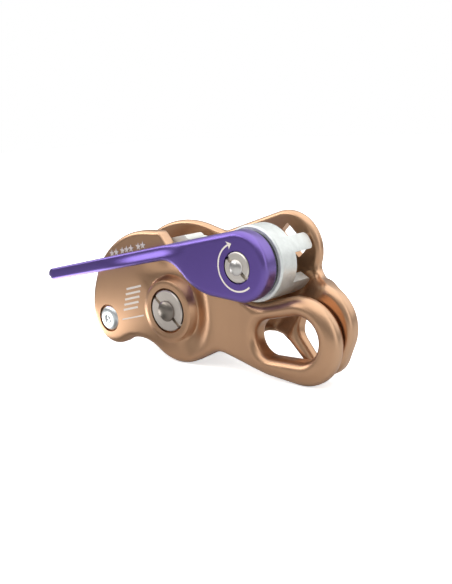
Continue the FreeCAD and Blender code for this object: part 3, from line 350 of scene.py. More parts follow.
def lathe(name, x, z, profile, steps=96, sharp=30):
    """A turned piece about an axis along Y, from (radius, y) points in millimetres."""
    mesh = bpy.data.meshes.new(name)
    work = bmesh.new()
    rings = []
    for radius, y in profile:
        if radius < 1e-6:
            rings.append([work.verts.new(place(x, y, z))])
            continue
        rings.append([work.verts.new(place(x + radius * math.cos(math.tau * k / steps), y,
                                           z + radius * math.sin(math.tau * k / steps)))
                      for k in range(steps)])
    for first, second in zip(rings, rings[1:]):
        for k in range(steps):
            nxt = (k + 1) % steps
            corners = [first[k % len(first)], first[nxt % len(first)],
                       second[nxt % len(second)], second[k % len(second)]]
            unique = list(dict.fromkeys(corners))
            if len(unique) > 2:
                work.faces.new(unique)
    bmesh.ops.recalc_face_normals(work, faces=work.faces)
    work.to_mesh(mesh)
    work.free()
    return finish_mesh(name, mesh, sharp)


def dome(radius, rim, rise, steps=14):
    """Profile points of a dome that rises towards the front from its rim."""
    angles = [math.pi / 2 * k / steps for k in range(steps + 1)]
    return [(radius * math.sin(angle), rim - rise * math.cos(angle)) for angle in angles]


# Materials

MARKS_PER_METRE, MARK_HEIGHT = 9000.0, 0.3
BUMP_DISTANCE = 0.0002
# How far the painted highlight along the outer rims lightens the colour
RIM_HIGHLIGHT_SHARE = 0.35


def new_material(name):
    material = bpy.data.materials.new(name)
    material.use_nodes = True
    tree = material.node_tree
    shader = tree.nodes["Principled BSDF"]
    return material, tree, shader


def feed(tree, node, inputs):
    """Fills a node's inputs with values, or links them to the sockets that are given."""
    for label, value in inputs.items():
        if isinstance(value, bpy.types.NodeSocket):
            tree.links.new(value, node.inputs[label])
        else:
            node.inputs[label].default_value = value
    return node


def add(tree, kind, inputs=None, **settings):
    """Adds a node with its inputs and settings."""
    node = tree.nodes.new(kind)
    for name, value in settings.items():
        setattr(node, name, value)
    return feed(tree, node, inputs or {})


def maths(tree, operation, *inputs):
    """The result of a maths node."""
    return add(tree, "ShaderNodeMath", dict(enumerate(inputs)), operation=operation).outputs[0]


def vector_maths(tree, operation, inputs):
    """The results of a vector maths node."""
    return add(tree, "ShaderNodeVectorMath", inputs, operation=operation).outputs


def grain_group():
    """Fine surface grain: soft mottling of colour and roughness, and a height."""
    name = "Fine metal grain"
    if name in bpy.data.node_groups:
        return bpy.data.node_groups[name]
    group = bpy.data.node_groups.new(name, "ShaderNodeTree")
    for label, kind, value in (("Color", "Color", (0.5, 0.5, 0.5, 1)), ("Variation", "Float", 0.1),
                               ("Roughness", "Float", 0.35), ("Grain size", "Float", 900.0),
                               ("Mottle size", "Float", 120.0)):
        socket = group.interface.new_socket(label, in_out="INPUT", socket_type="NodeSocket" + kind)
        socket.default_value = value
    for label, kind in (("Color", "Color"), ("Roughness", "Float"), ("Height", "Float")):
        group.interface.new_socket(label, in_out="OUTPUT", socket_type="NodeSocket" + kind)
    given = add(group, "NodeGroupInput").outputs
    where = add(group, "ShaderNodeTexCoord").outputs["Object"]
    grain = add(group, "ShaderNodeTexNoise", {
        "Vector": where, "Scale": given["Grain size"], "Detail": 3.0}).outputs["Fac"]
    mottle = add(group, "ShaderNodeTexNoise", {
        "Vector": where, "Scale": given["Mottle size"], "Detail": 4.0}).outputs["Fac"]
    # Colour and roughness shift with the mottle about its middle
    shift = maths(group, "MULTIPLY", maths(group, "SUBTRACT", mottle, 0.5), given["Variation"])
    tint = vector_maths(group, "SCALE", {
        0: given["Color"], "Scale": maths(group, "ADD", shift, 1.0)})[0]
    add(group, "NodeGroupOutput", {
        "Color": tint, "Roughness": maths(group, "MULTIPLY_ADD", shift, 0.5, given["Roughness"]),
        "Height": grain})
    return group


def turning_marks(tree, x, z, height):
    """Adds the fine rings that a lathe leaves round an axis to a height."""
    where = add(tree, "ShaderNodeTexCoord").outputs["Object"]
    from_axis = vector_maths(tree, "SUBTRACT", {0: where, 1: place(x, 0, z)})[0]
    flat = vector_maths(tree, "MULTIPLY", {0: from_axis, 1: (1, 0, 1)})[0]
    reach = vector_maths(tree, "LENGTH", {0: flat})["Value"]
    marks = maths(tree, "SINE", maths(tree, "MULTIPLY", reach, MARKS_PER_METRE))
    return maths(tree, "MULTIPLY_ADD", marks, MARK_HEIGHT, height)


def metal(name, color, roughness, variation=0.12, grain=900.0, mottle=120.0,
          bump=0.02, metallic=1.0, wear=None, rings=None):
    """A metal or lacquer with fine grain; wear paints a highlight on the rims, rings are turning
    marks.
    """
    material, tree, shader = new_material(name)
    fine = add(tree, "ShaderNodeGroup", node_tree=grain_group(), inputs={
        "Color": (*color, 1), "Variation": variation, "Roughness": roughness,
        "Grain size": grain, "Mottle size": mottle}).outputs
    colour, height = fine["Color"], fine["Height"]
    # The wear colour is a painted highlight: a lighter copy of the colour along the outer rims
    if wear is not None:
        rim = add(tree, "ShaderNodeAttribute", attribute_name="rim").outputs["Fac"]
        colour = add(tree, "ShaderNodeMix", data_type="RGBA", inputs={
            "Factor": maths(tree, "MULTIPLY", rim, RIM_HIGHLIGHT_SHARE), "A": colour,
            "B": (*wear, 1)}).outputs["Result"]
    if rings is not None:
        height = turning_marks(tree, *rings, height)
    relief = add(tree, "ShaderNodeBump", {
        "Strength": bump, "Distance": BUMP_DISTANCE, "Height": height}).outputs["Normal"]
    feed(tree, shader, {"Base Color": colour, "Metallic": metallic,
                        "Roughness": fine["Roughness"], "Normal": relief})
    return material


def dress(piece, material, body=None, replaces=()):
    """Gives a new piece its material and its place in the frame."""
    piece.data.materials.clear()
    piece.data.materials.append(material)
    if body:
        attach(piece, body)
    if replaces:
        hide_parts(*replaces)
    return piece


def repaint(node, material):
    """Gives a CAD node a better material."""
    mesh = frame["nodes"][node].data
    if mesh.materials:
        for index in range(len(mesh.materials)):
            mesh.materials[index] = material
    else:
        mesh.materials.append(material)


def made(name):
    """A material made once and found again by name."""
    return bpy.data.materials[name]


# Sizes and colours a user would change

class PlateSettings(bpy.types.PropertyGroup):
    color: FloatVectorProperty(name="Bronze", description="Anodised colour of both plates",
                               subtype="COLOR", default=(0.56, 0.335, 0.20), min=0, max=1)
    roughness: FloatProperty(name="Satin", description="Roughness of the anodised plates",
                             default=0.33, min=0, max=1)
    edge_round: FloatProperty(name="Edge round", default=1.8, min=0.2, max=2.4,
                              description="Round of the front plate's outer edge, mm")
    eye_round: FloatProperty(name="Eye round", description="Round of the eye's front edge, mm",
                             default=2.5, min=0.5, max=3.0)
    valley: FloatProperty(name="Valley depth", default=1.9, min=0, max=2.5,
                          description="Depth of the hollow beside the boss, mm")


class LeverSettings(bpy.types.PropertyGroup):
    color: FloatVectorProperty(name="Violet", description="Anodised colour of the release lever",
                               subtype="COLOR", default=(0.165, 0.107, 0.385), min=0, max=1)
    roughness: FloatProperty(name="Satin", description="Roughness of the lever",
                             default=0.34, min=0, max=1)
    edge_round: FloatProperty(name="Edge round", description="Round of the lever's front edge, mm",
                              default=1.7, min=0.3, max=2.0)


class MarkSettings(bpy.types.PropertyGroup):
    color: FloatVectorProperty(name="Mark colour", description="Colour of the laser marks",
                               subtype="COLOR", default=(0.74, 0.67, 0.60), min=0, max=1)
    star_radius: FloatProperty(name="Star radius", description="Reach of a star's points, mm",
                               default=1.3, min=0.2, max=2.0)
    arrow_radius: FloatProperty(name="Arrow radius", description="Radius of the curved arrow, mm",
                                default=6.45, min=5.0, max=8.0)
    star_count: IntProperty(name="Stars", description="How many stars stand in the row",
                            default=7, min=1, max=12)


class StudioSettings(bpy.types.PropertyGroup):
    key: FloatProperty(name="Key light", description="Power of the large lamp overhead",
                       default=2.9, min=0, unit="POWER")
    side: FloatProperty(name="Side lights", description="Power of the lamps at both sides",
                        default=0.85, min=0, unit="POWER")
    world: FloatProperty(name="Surroundings", description="Brightness of the pale surroundings",
                         default=0.75, min=0, max=2)
    back: FloatProperty(name="Back light", description="Power of the lamp behind at the right",
                        default=0.75, min=0, unit="POWER")


# Front plate

BOSS_ROWS = (7.2, 7.7, 8.1, 8.35, 8.55, 8.75, 8.95, 9.1, 9.25, 9.4, 9.55, 9.75, 9.95, 10.2, 10.5,
             10.8, 11.2, 11.6, 12.1, 12.6, 13.2, 13.8, 14.5, 15.2, 15.9, 16.6, 17.3, 18.0, 18.7,
             19.4, 20.2, 21.0)
NUT_SEAT, RIVET_SEAT, WEAR_SEAT = 2.95, 1.72, 3.7
# The foot that both plates share
FOOT = [(-25.2, -4.5, 9.0, 1), (None, None, 14.0, -1), (3.2, -0.2, 15.4, 1)]


def front_outline():
    return outline(FOOT + [
        (19.017, -15.635, 5.4, -1), (37.305, -3.982, 10.8, 1), (47.005, -3.582, 12.2, 1),
        (*LEVER_AXIS, 11.0, -1), (0.0, 0.0, 17.5, 1),
        (3.648, 20.478, 2.8, -1), (-3.416, 21.42, 2.0, 1), (-7.8, -3.7, 27.0, 1),
        (None, None, 14.0, 1)], 0.45)


def eye_outline(circles):
    return outline([(*circle, 1) for circle in circles], 0.4)


def front_depth(settings, outer, eye):
    """Depth of the front plate's front face at points of its plan."""
    def depth(points):
        x, z = points[:, 0], points[:, 1]
        edge = settings.edge_round + 0.9 * smooth(x, 24, 36) - 0.5 * smooth(z, 6, 14)
        # The horn's cut keeps a crisper edge
        edge = edge - 0.5 * smooth(x, -4.5, -1.5) * (1 - smooth(x, 3, 8)) * smooth(z, 13, 16)
        outer_gap = distance_to(outer, points)
        reach = np.hypot(x, z)
        angle = np.degrees(np.arctan2(z, x))
        turned = np.where(angle < -150, angle + 360, angle)
        weight = smooth(turned, -80, -25) * (1 - smooth(turned, 95, 150))
        # The hollow is short and steep beside the waist, wide and soft above the boss
        wide = smooth(turned, 5, 60)
        bowl = 1 - smooth(reach, 10.4 + 0.8 * wide, 17.4 + 2.2 * wide)
        face = PLATE_FRONT + settings.valley * (1 + 0.25 * wide) * weight * bowl
        # The waist between the boss and the eye is drawn in a little
        face += 0.45 * smooth(x, 17, 24) * (1 - smooth(x, 26, 34))
        # The top of the tail falls away a little towards its edge
        face += 0.35 * smooth(z, 8, 22) * (1 - smooth(x, 4, 14))
        # The boss's round runs out into a steep wall
        ring = np.where(reach < 9.3, quarter_round(9.6 - reach, 1.2), 0.41 + (reach - 9.3) * 2.2)
        face = np.where(reach < 14, -soft_max(-face, -ring, 0.25), face)
        face = np.where(reach < 7.9, ring, face)
        # A shallow bevel runs round the eye's rim and leaves a ridge along its middle
        lobe = smooth(x, 28, 36)
        bevel = 0.42 * lobe * soft_max(2.9 - outer_gap, 0, 0.25)
        edge = edge - 1.2 * lobe
        return (face + bevel + quarter_round(outer_gap, edge)
                + quarter_round(distance_to(eye, points), settings.eye_round))
    return depth


def front_back_depth(outer, eye):
    rim = outline([(37.305, -3.982, 10.0, 1), (47.005, -3.582, 11.4, 1)], 0.5)

    def depth(points):
        raised = np.where(inside_of(rim, points), smooth(distance_to(rim, points), 0.0, 0.9), 0.0)
        edge = 0.8 - 0.05 * smooth(points[:, 0], 40, 46)
        return (PLATE_BACK + (RIM_BACK - PLATE_BACK) * raised
                - quarter_round(distance_to(outer, points), edge)
                - quarter_round(distance_to(eye, points), 1.5))
    return depth


def wear_outline():
    return outline([(-25.2, -4.5, 6.45, 1), (-10.2, -3.2, 3.85, 1)], 0.5)


class BELAY_OT_front_plate(bpy.types.Operator):
    """Forges the swinging front plate with its boss, hollow and eye"""
    bl_idname = "belay.front_plate"
    bl_label = "Front plate"

    def execute(self, context):
        settings = context.scene.belay_plate
        outer, eye, wear = front_outline(), eye_outline(EYE), wear_outline()
        recess, bore = circle_loop(0, 0, 6.8), circle_loop(0, 0, 4.55)
        head, shank = (circle_loop(*WEAR_RIVET, radius, 60) for radius in (4.4, 1.9))
        skin = Skin()
        outer_f, eye_f, recess_f, head_f = skin.sheet(
            outer, [eye, recess, head], front_depth(settings, outer, eye), True,
            (0.04, 0.16, 0.38, 0.72, 1.15, 1.7, 2.3, 2.9), 0.62,
            np.concatenate([circle_loop(0, 0, radius, 110) for radius in BOSS_ROWS]),
            lambda points: np.hypot(*points.T) < BOSS_ROWS[-1] + 0.3)
        outer_b, eye_b, bore_b, wear_b = skin.sheet(
            outer, [eye, bore, wear], front_back_depth(outer, eye), False,
            (0.05, 0.25, 0.6, 1.1, 1.6), 1.2)
        wear_floor, shank_floor = skin.sheet(
            wear, [shank], lambda points: np.full(len(points), WEAR_SEAT), False, (0.3,), 1.5)
        skin.bridge(outer_f, outer_b, outward=True)
        skin.bore(eye_f, [], eye_b)
        skin.bore(recess_f, [(recess, NUT_SEAT), (bore, NUT_SEAT)], bore_b)
        skin.bore(head_f, [(head, RIVET_SEAT), (shank, RIVET_SEAT)], shank_floor)
        skin.bore(wear_floor, [], wear_b)
        piece = skin.build("front_plate_forging")
        dress(piece, made("Bronze anodised"), "swing_plate", ("front_plate",))
        return {"FINISHED"}


# Rear plate

BEND_TURN = math.radians(40.5)


def across_bend(points):
    return points[:, 0] * math.cos(BEND_TURN) - points[:, 1] * math.sin(BEND_TURN)


def ramp(across, start, end, low, high, softness):
    """A level that goes from low to high between two places with soft bends."""
    slope = (high - low) / (end - start)
    return low + slope * (soft_max(across - start, 0, softness)
                          - soft_max(across - end, 0, softness))


def rear_front_depth(outer, eye):
    def depth(points):
        face = ramp(across_bend(points), 25.3, 31.5, REAR_FRONT, LOBE_FRONT, 1.5)
        lobe = smooth(points[:, 0], 36, 44)
        return (face + quarter_round(distance_to(outer, points), 1.2 + 0.6 * lobe)
                + quarter_round(distance_to(eye, points), 1.8))
    return depth


def rear_back_depth(outer, eye):
    def depth(points):
        face = ramp(across_bend(points), 26.65, 33.7, REAR_BACK, LOBE_BACK, 1.5)
        return (face - quarter_round(distance_to(outer, points), 1.2)
                - quarter_round(distance_to(eye, points), 1.8))
    return depth


def rear_outline():
    return outline(FOOT + [
        (27.0, -13.6, 7.5, -1), (35.505, -10.673, 5.8, -1), (49.805, -6.382, 7.5, 1),
        (47.905, -0.182, 11.6, 1), (None, None, 2.995, -1), (34.0, 18.5, 10.9, 1),
        (10.16, 26.387, 4.0, -1), (-1.2, 5.2, 19.4, 1), (None, None, 30.243, 1)], 0.45)


def slot_outline():
    angle = math.radians(-44.6)
    along = (math.cos(angle), math.sin(angle))
    corner = 0.4
    half_length, half_width = 9.4 / 2 - corner, 4.3 / 2 - corner
    return outline([(36.0 + end * half_length * along[0] - side * half_width * along[1],
                     21.2 + end * half_length * along[1] + side * half_width * along[0],
                     corner, 1) for end, side in ((-1, -1), (1, -1), (1, 1), (-1, 1))], 0.3)


def friction_rivet_places():
    middle, spread, radius = 1.5, 6.5, 24.0 - 5.4 / 2
    angles = [math.radians(middle + side * spread) for side in (-1, 1)]
    return [(radius * math.cos(angle), radius * math.sin(angle)) for angle in angles]


class BELAY_OT_rear_plate(bpy.types.Operator):
    """Forges the bent rear plate with its window and eye"""
    bl_idname = "belay.rear_plate"
    bl_label = "Rear plate"

    def execute(self, context):
        outer, eye, slot = rear_outline(), eye_outline(REAR_EYE), slot_outline()
        # Stepped holes as x, z, radius in front, radius behind and depth of the wide end
        holes = [(0, 0, 3.75, 6.0, 1.4), (*LEVER_AXIS, 2.4, 3.4, 1.3)]
        holes += [(x, z, 1.1, 1.9, 0.9) for x, z in friction_rivet_places()]
        small = [circle_loop(x, z, radius, 48) for x, z, radius, _, _ in holes]
        large = [circle_loop(x, z, radius, 48) for x, z, _, radius, _ in holes]
        skin = Skin()
        insets = (0.04, 0.16, 0.36, 0.66, 1.05, 1.5, 2.0)
        fronts = skin.sheet(outer, [eye, slot] + small, rear_front_depth(outer, eye), True,
                            insets, 0.75)
        backs = skin.sheet(outer, [eye, slot] + large, rear_back_depth(outer, eye), False,
                           insets, 0.9)
        skin.bridge(fronts[0], backs[0], outward=True)
        steps = [[], []]
        steps += [[(near, REAR_BACK - hole[-1]), (far, REAR_BACK - hole[-1])]
                  for near, far, hole in zip(small, large, holes)]
        for front, step, back in zip(fronts[1:], steps, backs[1:]):
            skin.bore(front, step, back)
        piece = skin.build("rear_plate_forging")
        dress(piece, made("Bronze anodised"), "chassis", ("rear_plate",))
        return {"FINISHED"}


# Release lever

HEAD_RADIUS, TAIL_END, TAIL_RADIUS = 9.7, (-46.2, 8.0), 1.9
LEVER_NUT_SEAT = -4.62


def lever_outline():
    return outline([(*LEVER_AXIS, HEAD_RADIUS, 1), (*TAIL_END, TAIL_RADIUS, 1),
                    (5.0, 8.6, 7.6, -1), (24.368, 24.566, 17.0, 1)], 0.4)


def lever_top_line(x):
    """Height of the lever's upper edge, a straight tangent over its tail."""
    first, last = tangent_points(*({"centre": Vector(centre), "radius": radius, "side": 1}
                                   for centre, radius in ((LEVER_AXIS, HEAD_RADIUS),
                                                          (TAIL_END, TAIL_RADIUS))))
    share = (x - first.x) / (last.x - first.x)
    return first.y + share * (last.y - first.y)


def tail_rows(outer):
    """Rows of points along the lever's tail, between its upper and its lower edge."""
    under = outer[(outer[:, 0] < 18) & (outer[:, 1] < lever_top_line(outer[:, 0]) - 1.5)]
    under = under[np.argsort(under[:, 0])]
    xs = np.arange(-45.9, 12.6, 0.5)
    top, bottom = lever_top_line(xs), np.interp(xs, under[:, 0], under[:, 1])
    shares = (0.012, 0.035, 0.07, 0.12, 0.18, 0.25, 0.32, 0.38, 0.43, 0.47, 0.5, 0.53, 0.57, 0.62,
              0.68, 0.75, 0.82, 0.88, 0.93, 0.965, 0.988)
    return np.concatenate([np.stack([xs, top + (bottom - top) * share], 1) for share in shares])


def lever_front_depth(settings, outer):
    def depth(points):
        x, z = points[:, 0], points[:, 1]
        gap = distance_to(outer, points)
        below_top = (lever_top_line(x) - z) * 0.985
        tail = 1 - smooth(x, 2, 14)
        edge = settings.edge_round * (1 - np.where(below_top < 2.2, 0.65, 0.45) * tail)
        # The tail is rounded about its middle
        round_over = 0.16 * tail * ((below_top - 2.3) / 2.0) ** 2
        # Above the hollow the lower side swells out below a sunken top
        swell = (1.15 * smooth(x, -24, -5) * (1 - smooth(x, 4, 16))
                 * (1 - smooth(below_top, 0.8, 4.0)))
        return LEVER_FRONT + quarter_round(gap, edge) + round_over + swell
    return depth


class BELAY_OT_lever(bpy.types.Operator):
    """Shapes the violet release lever with its long tail"""
    bl_idname = "belay.lever"
    bl_label = "Release lever"

    def execute(self, context):
        settings = context.scene.belay_lever
        outer = lever_outline()
        recess, bore = circle_loop(*LEVER_AXIS, 4.5), circle_loop(*LEVER_AXIS, 4.05)
        skin = Skin()
        outer_f, recess_f = skin.sheet(outer, [recess], lever_front_depth(settings, outer), True,
                                       (0.03, 0.1, 0.22, 0.38, 0.6, 0.9, 1.2, 1.5, 1.85), 0.45,
                                       tail_rows(outer), lambda points: points[:, 0] < 12.8,
                                       to_edge=True)
        outer_b, bore_b = skin.sheet(
            outer, [bore],
            lambda points: LEVER_BACK - quarter_round(distance_to(outer, points), 0.8),
            False, (0.05, 0.2, 0.45, 0.85), 1.0)
        skin.bridge(outer_f, outer_b, outward=True)
        skin.bore(recess_f, [(recess, LEVER_NUT_SEAT), (bore, LEVER_NUT_SEAT)], bore_b)
        piece = skin.build("lever_forging")
        dress(piece, made("Violet anodised"), "lever_unit", ("release_lever",))
        return {"FINISHED"}


# Axle ends and the rivet

class BELAY_OT_axle_ends(bpy.types.Operator):
    """Turns both axles with smooth domes and the wear rivet"""
    bl_idname = "belay.axle_ends"
    bl_label = "Axle ends and rivet"

    def execute(self, context):
        main = dome(3.2, -0.25, 1.3) + [
            (3.2, 2.4), (3.75, 2.4), (3.75, 16.5), (6.0, 16.5), (6.0, 17.8), (5.9, REAR_BACK),
            (0.0, REAR_BACK)]
        lever = dome(2.2, -6.2, 0.9) + [
            (2.2, -4.7), (3.2, -4.7), (3.2, 6.45), (4.6, 6.45), (4.6, 7.25), (2.4, 7.25),
            (2.4, 16.6), (3.4, 16.6), (3.4, 17.8), (3.3, REAR_BACK), (0.0, REAR_BACK)]
        rivet = [(0.0, 0.28), (0.35, 0.30), (0.5, 0.42), (0.75, 0.5), (1.05, 0.44), (1.3, 0.2),
                 (1.7, 0.12), (2.3, 0.14), (2.9, 0.24), (3.4, 0.42), (3.8, 0.72), (4.02, 1.1),
                 (4.1, 1.45), (4.1, 1.7), (1.9, 1.7), (1.9, PLATE_BACK), (0.0, PLATE_BACK)]
        for node, axis, profile, sharp, finish, body, slot in (
                ("main_axle", (0, 0), main, 30, "Dark burnished steel", "chassis", "dark_steel"),
                ("lever_axle", LEVER_AXIS, lever, 30, "Bright turned steel", "chassis",
                 "bright_steel"),
                ("wear_rivet", WEAR_RIVET, rivet, 40, "Plated steel", "swing_plate",
                 "bright_steel")):
            piece = lathe(node + "_turning", *axis, profile, sharp=sharp)
            dress(piece, made(finish), body, (node,))
        return {"FINISHED"}


# Laser marks

MARK_LIFT = 0.03


def mark(name, flat, faces, depth, body="swing_plate", slot="bronze_plate"):
    """A thin mark that lies on a surface."""
    flat = np.array(flat, float)
    levels = depth(flat) - MARK_LIFT
    mesh = bpy.data.meshes.new(name)
    mesh.from_pydata([tuple(place(x, y, z)) for (x, z), y in zip(flat, levels)], [], faces)
    mesh.validate()
    work = bmesh.new()
    work.from_mesh(mesh)
    bmesh.ops.recalc_face_normals(work, faces=work.faces)
    if sum(face.normal.y for face in work.faces) > 0:
        bmesh.ops.reverse_faces(work, faces=work.faces)
    work.to_mesh(mesh)
    work.free()
    dress(finish_mesh(name, mesh), made("Laser mark"), body)


def strip(points, half):
    """Quads of a line with a width along points."""
    points = np.array(points, float)
    along = np.gradient(points, axis=0)
    along /= np.linalg.norm(along, axis=1)[:, None]
    left = np.stack([-along[:, 1], along[:, 0]], 1)
    flat = np.concatenate([points + left * half, points - left * half])
    count = len(points)
    faces = [(k, k + 1, count + k + 1, count + k) for k in range(count - 1)]
    return [tuple(point) for point in flat], faces


def star_tree():
    """Geometry nodes that set stars on points and turn them into one mesh."""
    tree = bpy.data.node_groups.new("Row of stars", "GeometryNodeTree")
    side = tree.interface
    side.new_socket("Geometry", in_out="INPUT", socket_type="NodeSocketGeometry")
    radius = side.new_socket("Star radius", in_out="INPUT", socket_type="NodeSocketFloat")
    finish = side.new_socket("Finish", in_out="INPUT", socket_type="NodeSocketMaterial")
    side.new_socket("Geometry", in_out="OUTPUT", socket_type="NodeSocketGeometry")
    given = add(tree, "NodeGroupInput").outputs
    star = add(tree, "GeometryNodeCurveStar", {
        "Points": 5, "Outer Radius": given["Star radius"],
        "Inner Radius": maths(tree, "MULTIPLY", given["Star radius"], 0.42)}).outputs["Curve"]
    flat = add(tree, "GeometryNodeFillCurve", {"Curve": star}).outputs["Mesh"]
    turned = add(tree, "GeometryNodeTransform", {
        "Geometry": flat, "Rotation": (math.pi / 2, math.radians(-18), 0)}).outputs["Geometry"]
    spots = add(tree, "GeometryNodeInstanceOnPoints", {
        "Points": given["Geometry"], "Instance": turned}).outputs["Instances"]
    real = add(tree, "GeometryNodeRealizeInstances", {"Geometry": spots})
    painted = add(tree, "GeometryNodeSetMaterial", {
        "Geometry": real.outputs["Geometry"], "Material": given["Finish"]})
    add(tree, "NodeGroupOutput", {"Geometry": painted.outputs["Geometry"]})
    return tree, radius.identifier, finish.identifier


def star_places(count):
    """Points of the row of stars in the plan, in a group of two, three and two."""
    shares = [0.0, 0.14, 0.345, 0.485, 0.625, 0.86, 1.0, 1.2, 1.34, 1.5, 1.64, 1.8][:count]
    start, end = Vector((-23.3, 15.5)), Vector((-9.4, 18.9))
    return [tuple(start.lerp(end, share)) for share in shares]


class BELAY_OT_marks(bpy.types.Operator):
    """Engraves the curved arrow, the row of stars and the plain stripes"""
    bl_idname = "belay.marks"
    bl_label = "Laser marks"

    def execute(self, context):
        settings = context.scene.belay_marks
        finish = made("Laser mark")
        face = front_depth(context.scene.belay_plate, front_outline(), eye_outline(EYE))
        # Row of stars
        places = np.array(star_places(settings.star_count))
        seeds = bpy.data.meshes.new("star_seeds")
        seeds.from_pydata([tuple(place(x, y - 0.1, z)) for (x, z), y in zip(places, face(places))],
                          [], [])
        carrier = bpy.data.objects.new("star_seeds", seeds)
        context.scene.collection.objects.link(carrier)
        tree, radius_socket, finish_socket = star_tree()
        modifier = carrier.modifiers.new("Stars", "NODES")
        modifier.node_group = tree
        modifier[radius_socket] = settings.star_radius * MM
        modifier[finish_socket] = finish
        shown = carrier.evaluated_get(context.evaluated_depsgraph_get())
        mesh = bpy.data.meshes.new_from_object(shown)
        carrier.modifiers.remove(modifier)
        bpy.data.objects.remove(carrier)
        work = bmesh.new()
        work.from_mesh(mesh)
        for corner in work.faces:
            if corner.normal.y > 0:
                corner.normal_flip()
        work.to_mesh(mesh)
        work.free()
        dress(finish_mesh("star_row", mesh), finish, "swing_plate")
        # Dividing line and plain stripes below the lever
        ends = np.linspace(0, 1, 12)[:, None]
        line = np.array([-20.6, -5.2]) + ends * np.array([9.9, 2.5])
        mark("dividing_line", *strip(line, 0.22), face)
        flat, faces = [], []
        for row in range(5):
            middle = np.array([-16.4 + 0.5 * row, -1.2 + 1.7 * row])
            line = middle + (ends - 0.5) * np.array([6.6, 1.7])
            more, quads = strip(line, 0.32)
            faces += [tuple(k + len(flat) for k in quad) for quad in quads]
            flat += more
        mark("plain_stripes", flat, faces, face)
        # Curved arrow on the lever
        radius = settings.arrow_radius
        angles = np.radians(np.linspace(-50, -246, 90))
        line = np.stack([LEVER_AXIS[0] + radius * np.cos(angles),
                         LEVER_AXIS[1] + radius * np.sin(angles)], 1)
        flat, faces = strip(line, 0.24)
        # The arrow's head as a tip, two barbs and the notch between them
        for reach, degrees in ((0, -257), (1.15, -243), (-0.15, -246), (-1.15, -243)):
            angle = math.radians(degrees)
            flat.append((LEVER_AXIS[0] + (radius + reach) * math.cos(angle),
                         LEVER_AXIS[1] + (radius + reach) * math.sin(angle)))
        last = len(flat)
        faces += [(last - 4, last - 3, last - 2), (last - 4, last - 2, last - 1)]
        cheek = lever_front_depth(context.scene.belay_lever, lever_outline())
        mark("curved_arrow", flat, faces, cheek, "lever_unit", "lever_violet")
        return {"FINISHED"}


# Finishes

class BELAY_OT_finishes(bpy.types.Operator):
    """Makes the finishes and paints the parts that keep their CAD shape"""
    bl_idname = "belay.finishes"
    bl_label = "Finishes"

    def execute(self, context):
        plate, lever = context.scene.belay_plate, context.scene.belay_lever
        marks = context.scene.belay_marks
        # The wear colours of both anodised finishes are painted highlights, lighter copies along
        # the rims
        metal("Bronze anodised", tuple(plate.color), plate.roughness, 0.10, 1400, 90, 0.05,
              wear=(0.74, 0.52, 0.36))
        metal("Violet anodised", tuple(lever.color), lever.roughness, 0.10, 1400, 90, 0.04,
              wear=(0.33, 0.25, 0.58))
        metal("Bright turned steel", (0.62, 0.60, 0.57), 0.30, 0.10, 900, 200, 0.03,
              rings=LEVER_AXIS)
        metal("Plated steel", (0.82, 0.86, 0.87), 0.32, 0.08, 900, 200, 0.03, rings=WEAR_RIVET)
        metal("Nut face steel", (0.64, 0.58, 0.52), 0.36, 0.10, 1200, 260, 0.06, rings=(0, 0))
        metal("Lever nut steel", (0.72, 0.67, 0.61), 0.34, 0.10, 1200, 260, 0.06,
              rings=LEVER_AXIS)
        metal("Dark burnished steel", (0.24, 0.21, 0.18), 0.32, 0.4, 900, 300, 0.04,
              rings=(0, 0))
        metal("Tumbled steel", (0.72, 0.75, 0.73), 0.44, 0.32, 1500, 640, 0.40, metallic=0.6)
        metal("Polished cam steel", (0.84, 0.86, 0.84), 0.30, 0.08, 1200, 200, 0.05)
        metal("Cam steel", (0.80, 0.82, 0.78), 0.48, 0.08, 1200, 200, 0.05, metallic=0.35)
        metal("Spring wire", (0.60, 0.61, 0.62), 0.28, 0.08, 1500, 300, 0.05)
        metal("Turned bronze", (0.68, 0.50, 0.26), 0.3, 0.1, 900, 200, 0.04, rings=(0, 0))
        metal("Black polymer", (0.018, 0.018, 0.022), 0.45, 0.3, 1500, 300, 0.15, metallic=0.0)
        metal("Laser mark", tuple(marks.color), 0.6, 0.06, 1500, 300, 0.08, metallic=0.0)
        painted = {
            "Nut face steel": ("main_nut", "nut_washer"),
            "Lever nut steel": ("lever_nut",),
            "Turned bronze": ("front_thrust_washer", "front_bush", "cam_bush", "lever_bush"),
            "Bright turned steel": ("spring_collar", "drive_pins"),
            "Polished cam steel": ("friction_plate", "wear_insert"),
            "Plated steel": ("friction_rivets",),
            "Cam steel": ("cam",),
            "Spring wire": ("cam_spring", "lever_spring"),
            "Tumbled steel": ("crown_drum",),
            "Black polymer": ("lever_spacer",),
        }
        for finish, nodes in painted.items():
            for node in nodes:
                repaint(node, made(finish))
        return {"FINISHED"}


# Studio

def show(tree, output, others, camera):
    """Puts one shader before the camera and another before every other ray."""
    seen = add(tree, "ShaderNodeLightPath").outputs["Is Camera Ray"]
    switch = add(tree, "ShaderNodeMixShader", {
        0: seen, 1: others.outputs[0], 2: camera.outputs[0]})
    feed(tree, tree.nodes[output], {"Surface": switch.outputs[0]})


def lamp(name, offset, size, power):
    """An area lamp beside the device that points at its middle."""
    low, high = first_box
    centre = (low + high) / 2
    light = bpy.data.lights.new(name, "AREA")
    light.shape = "RECTANGLE"
    light.size, light.size_y = size
    light.energy = power
    holder = bpy.data.objects.new(name, light)
    holder.location = centre + Vector(offset)
    holder.rotation_euler = (-Vector(offset)).to_track_quat("-Z", "Y").to_euler()
    bpy.context.scene.collection.objects.link(holder)


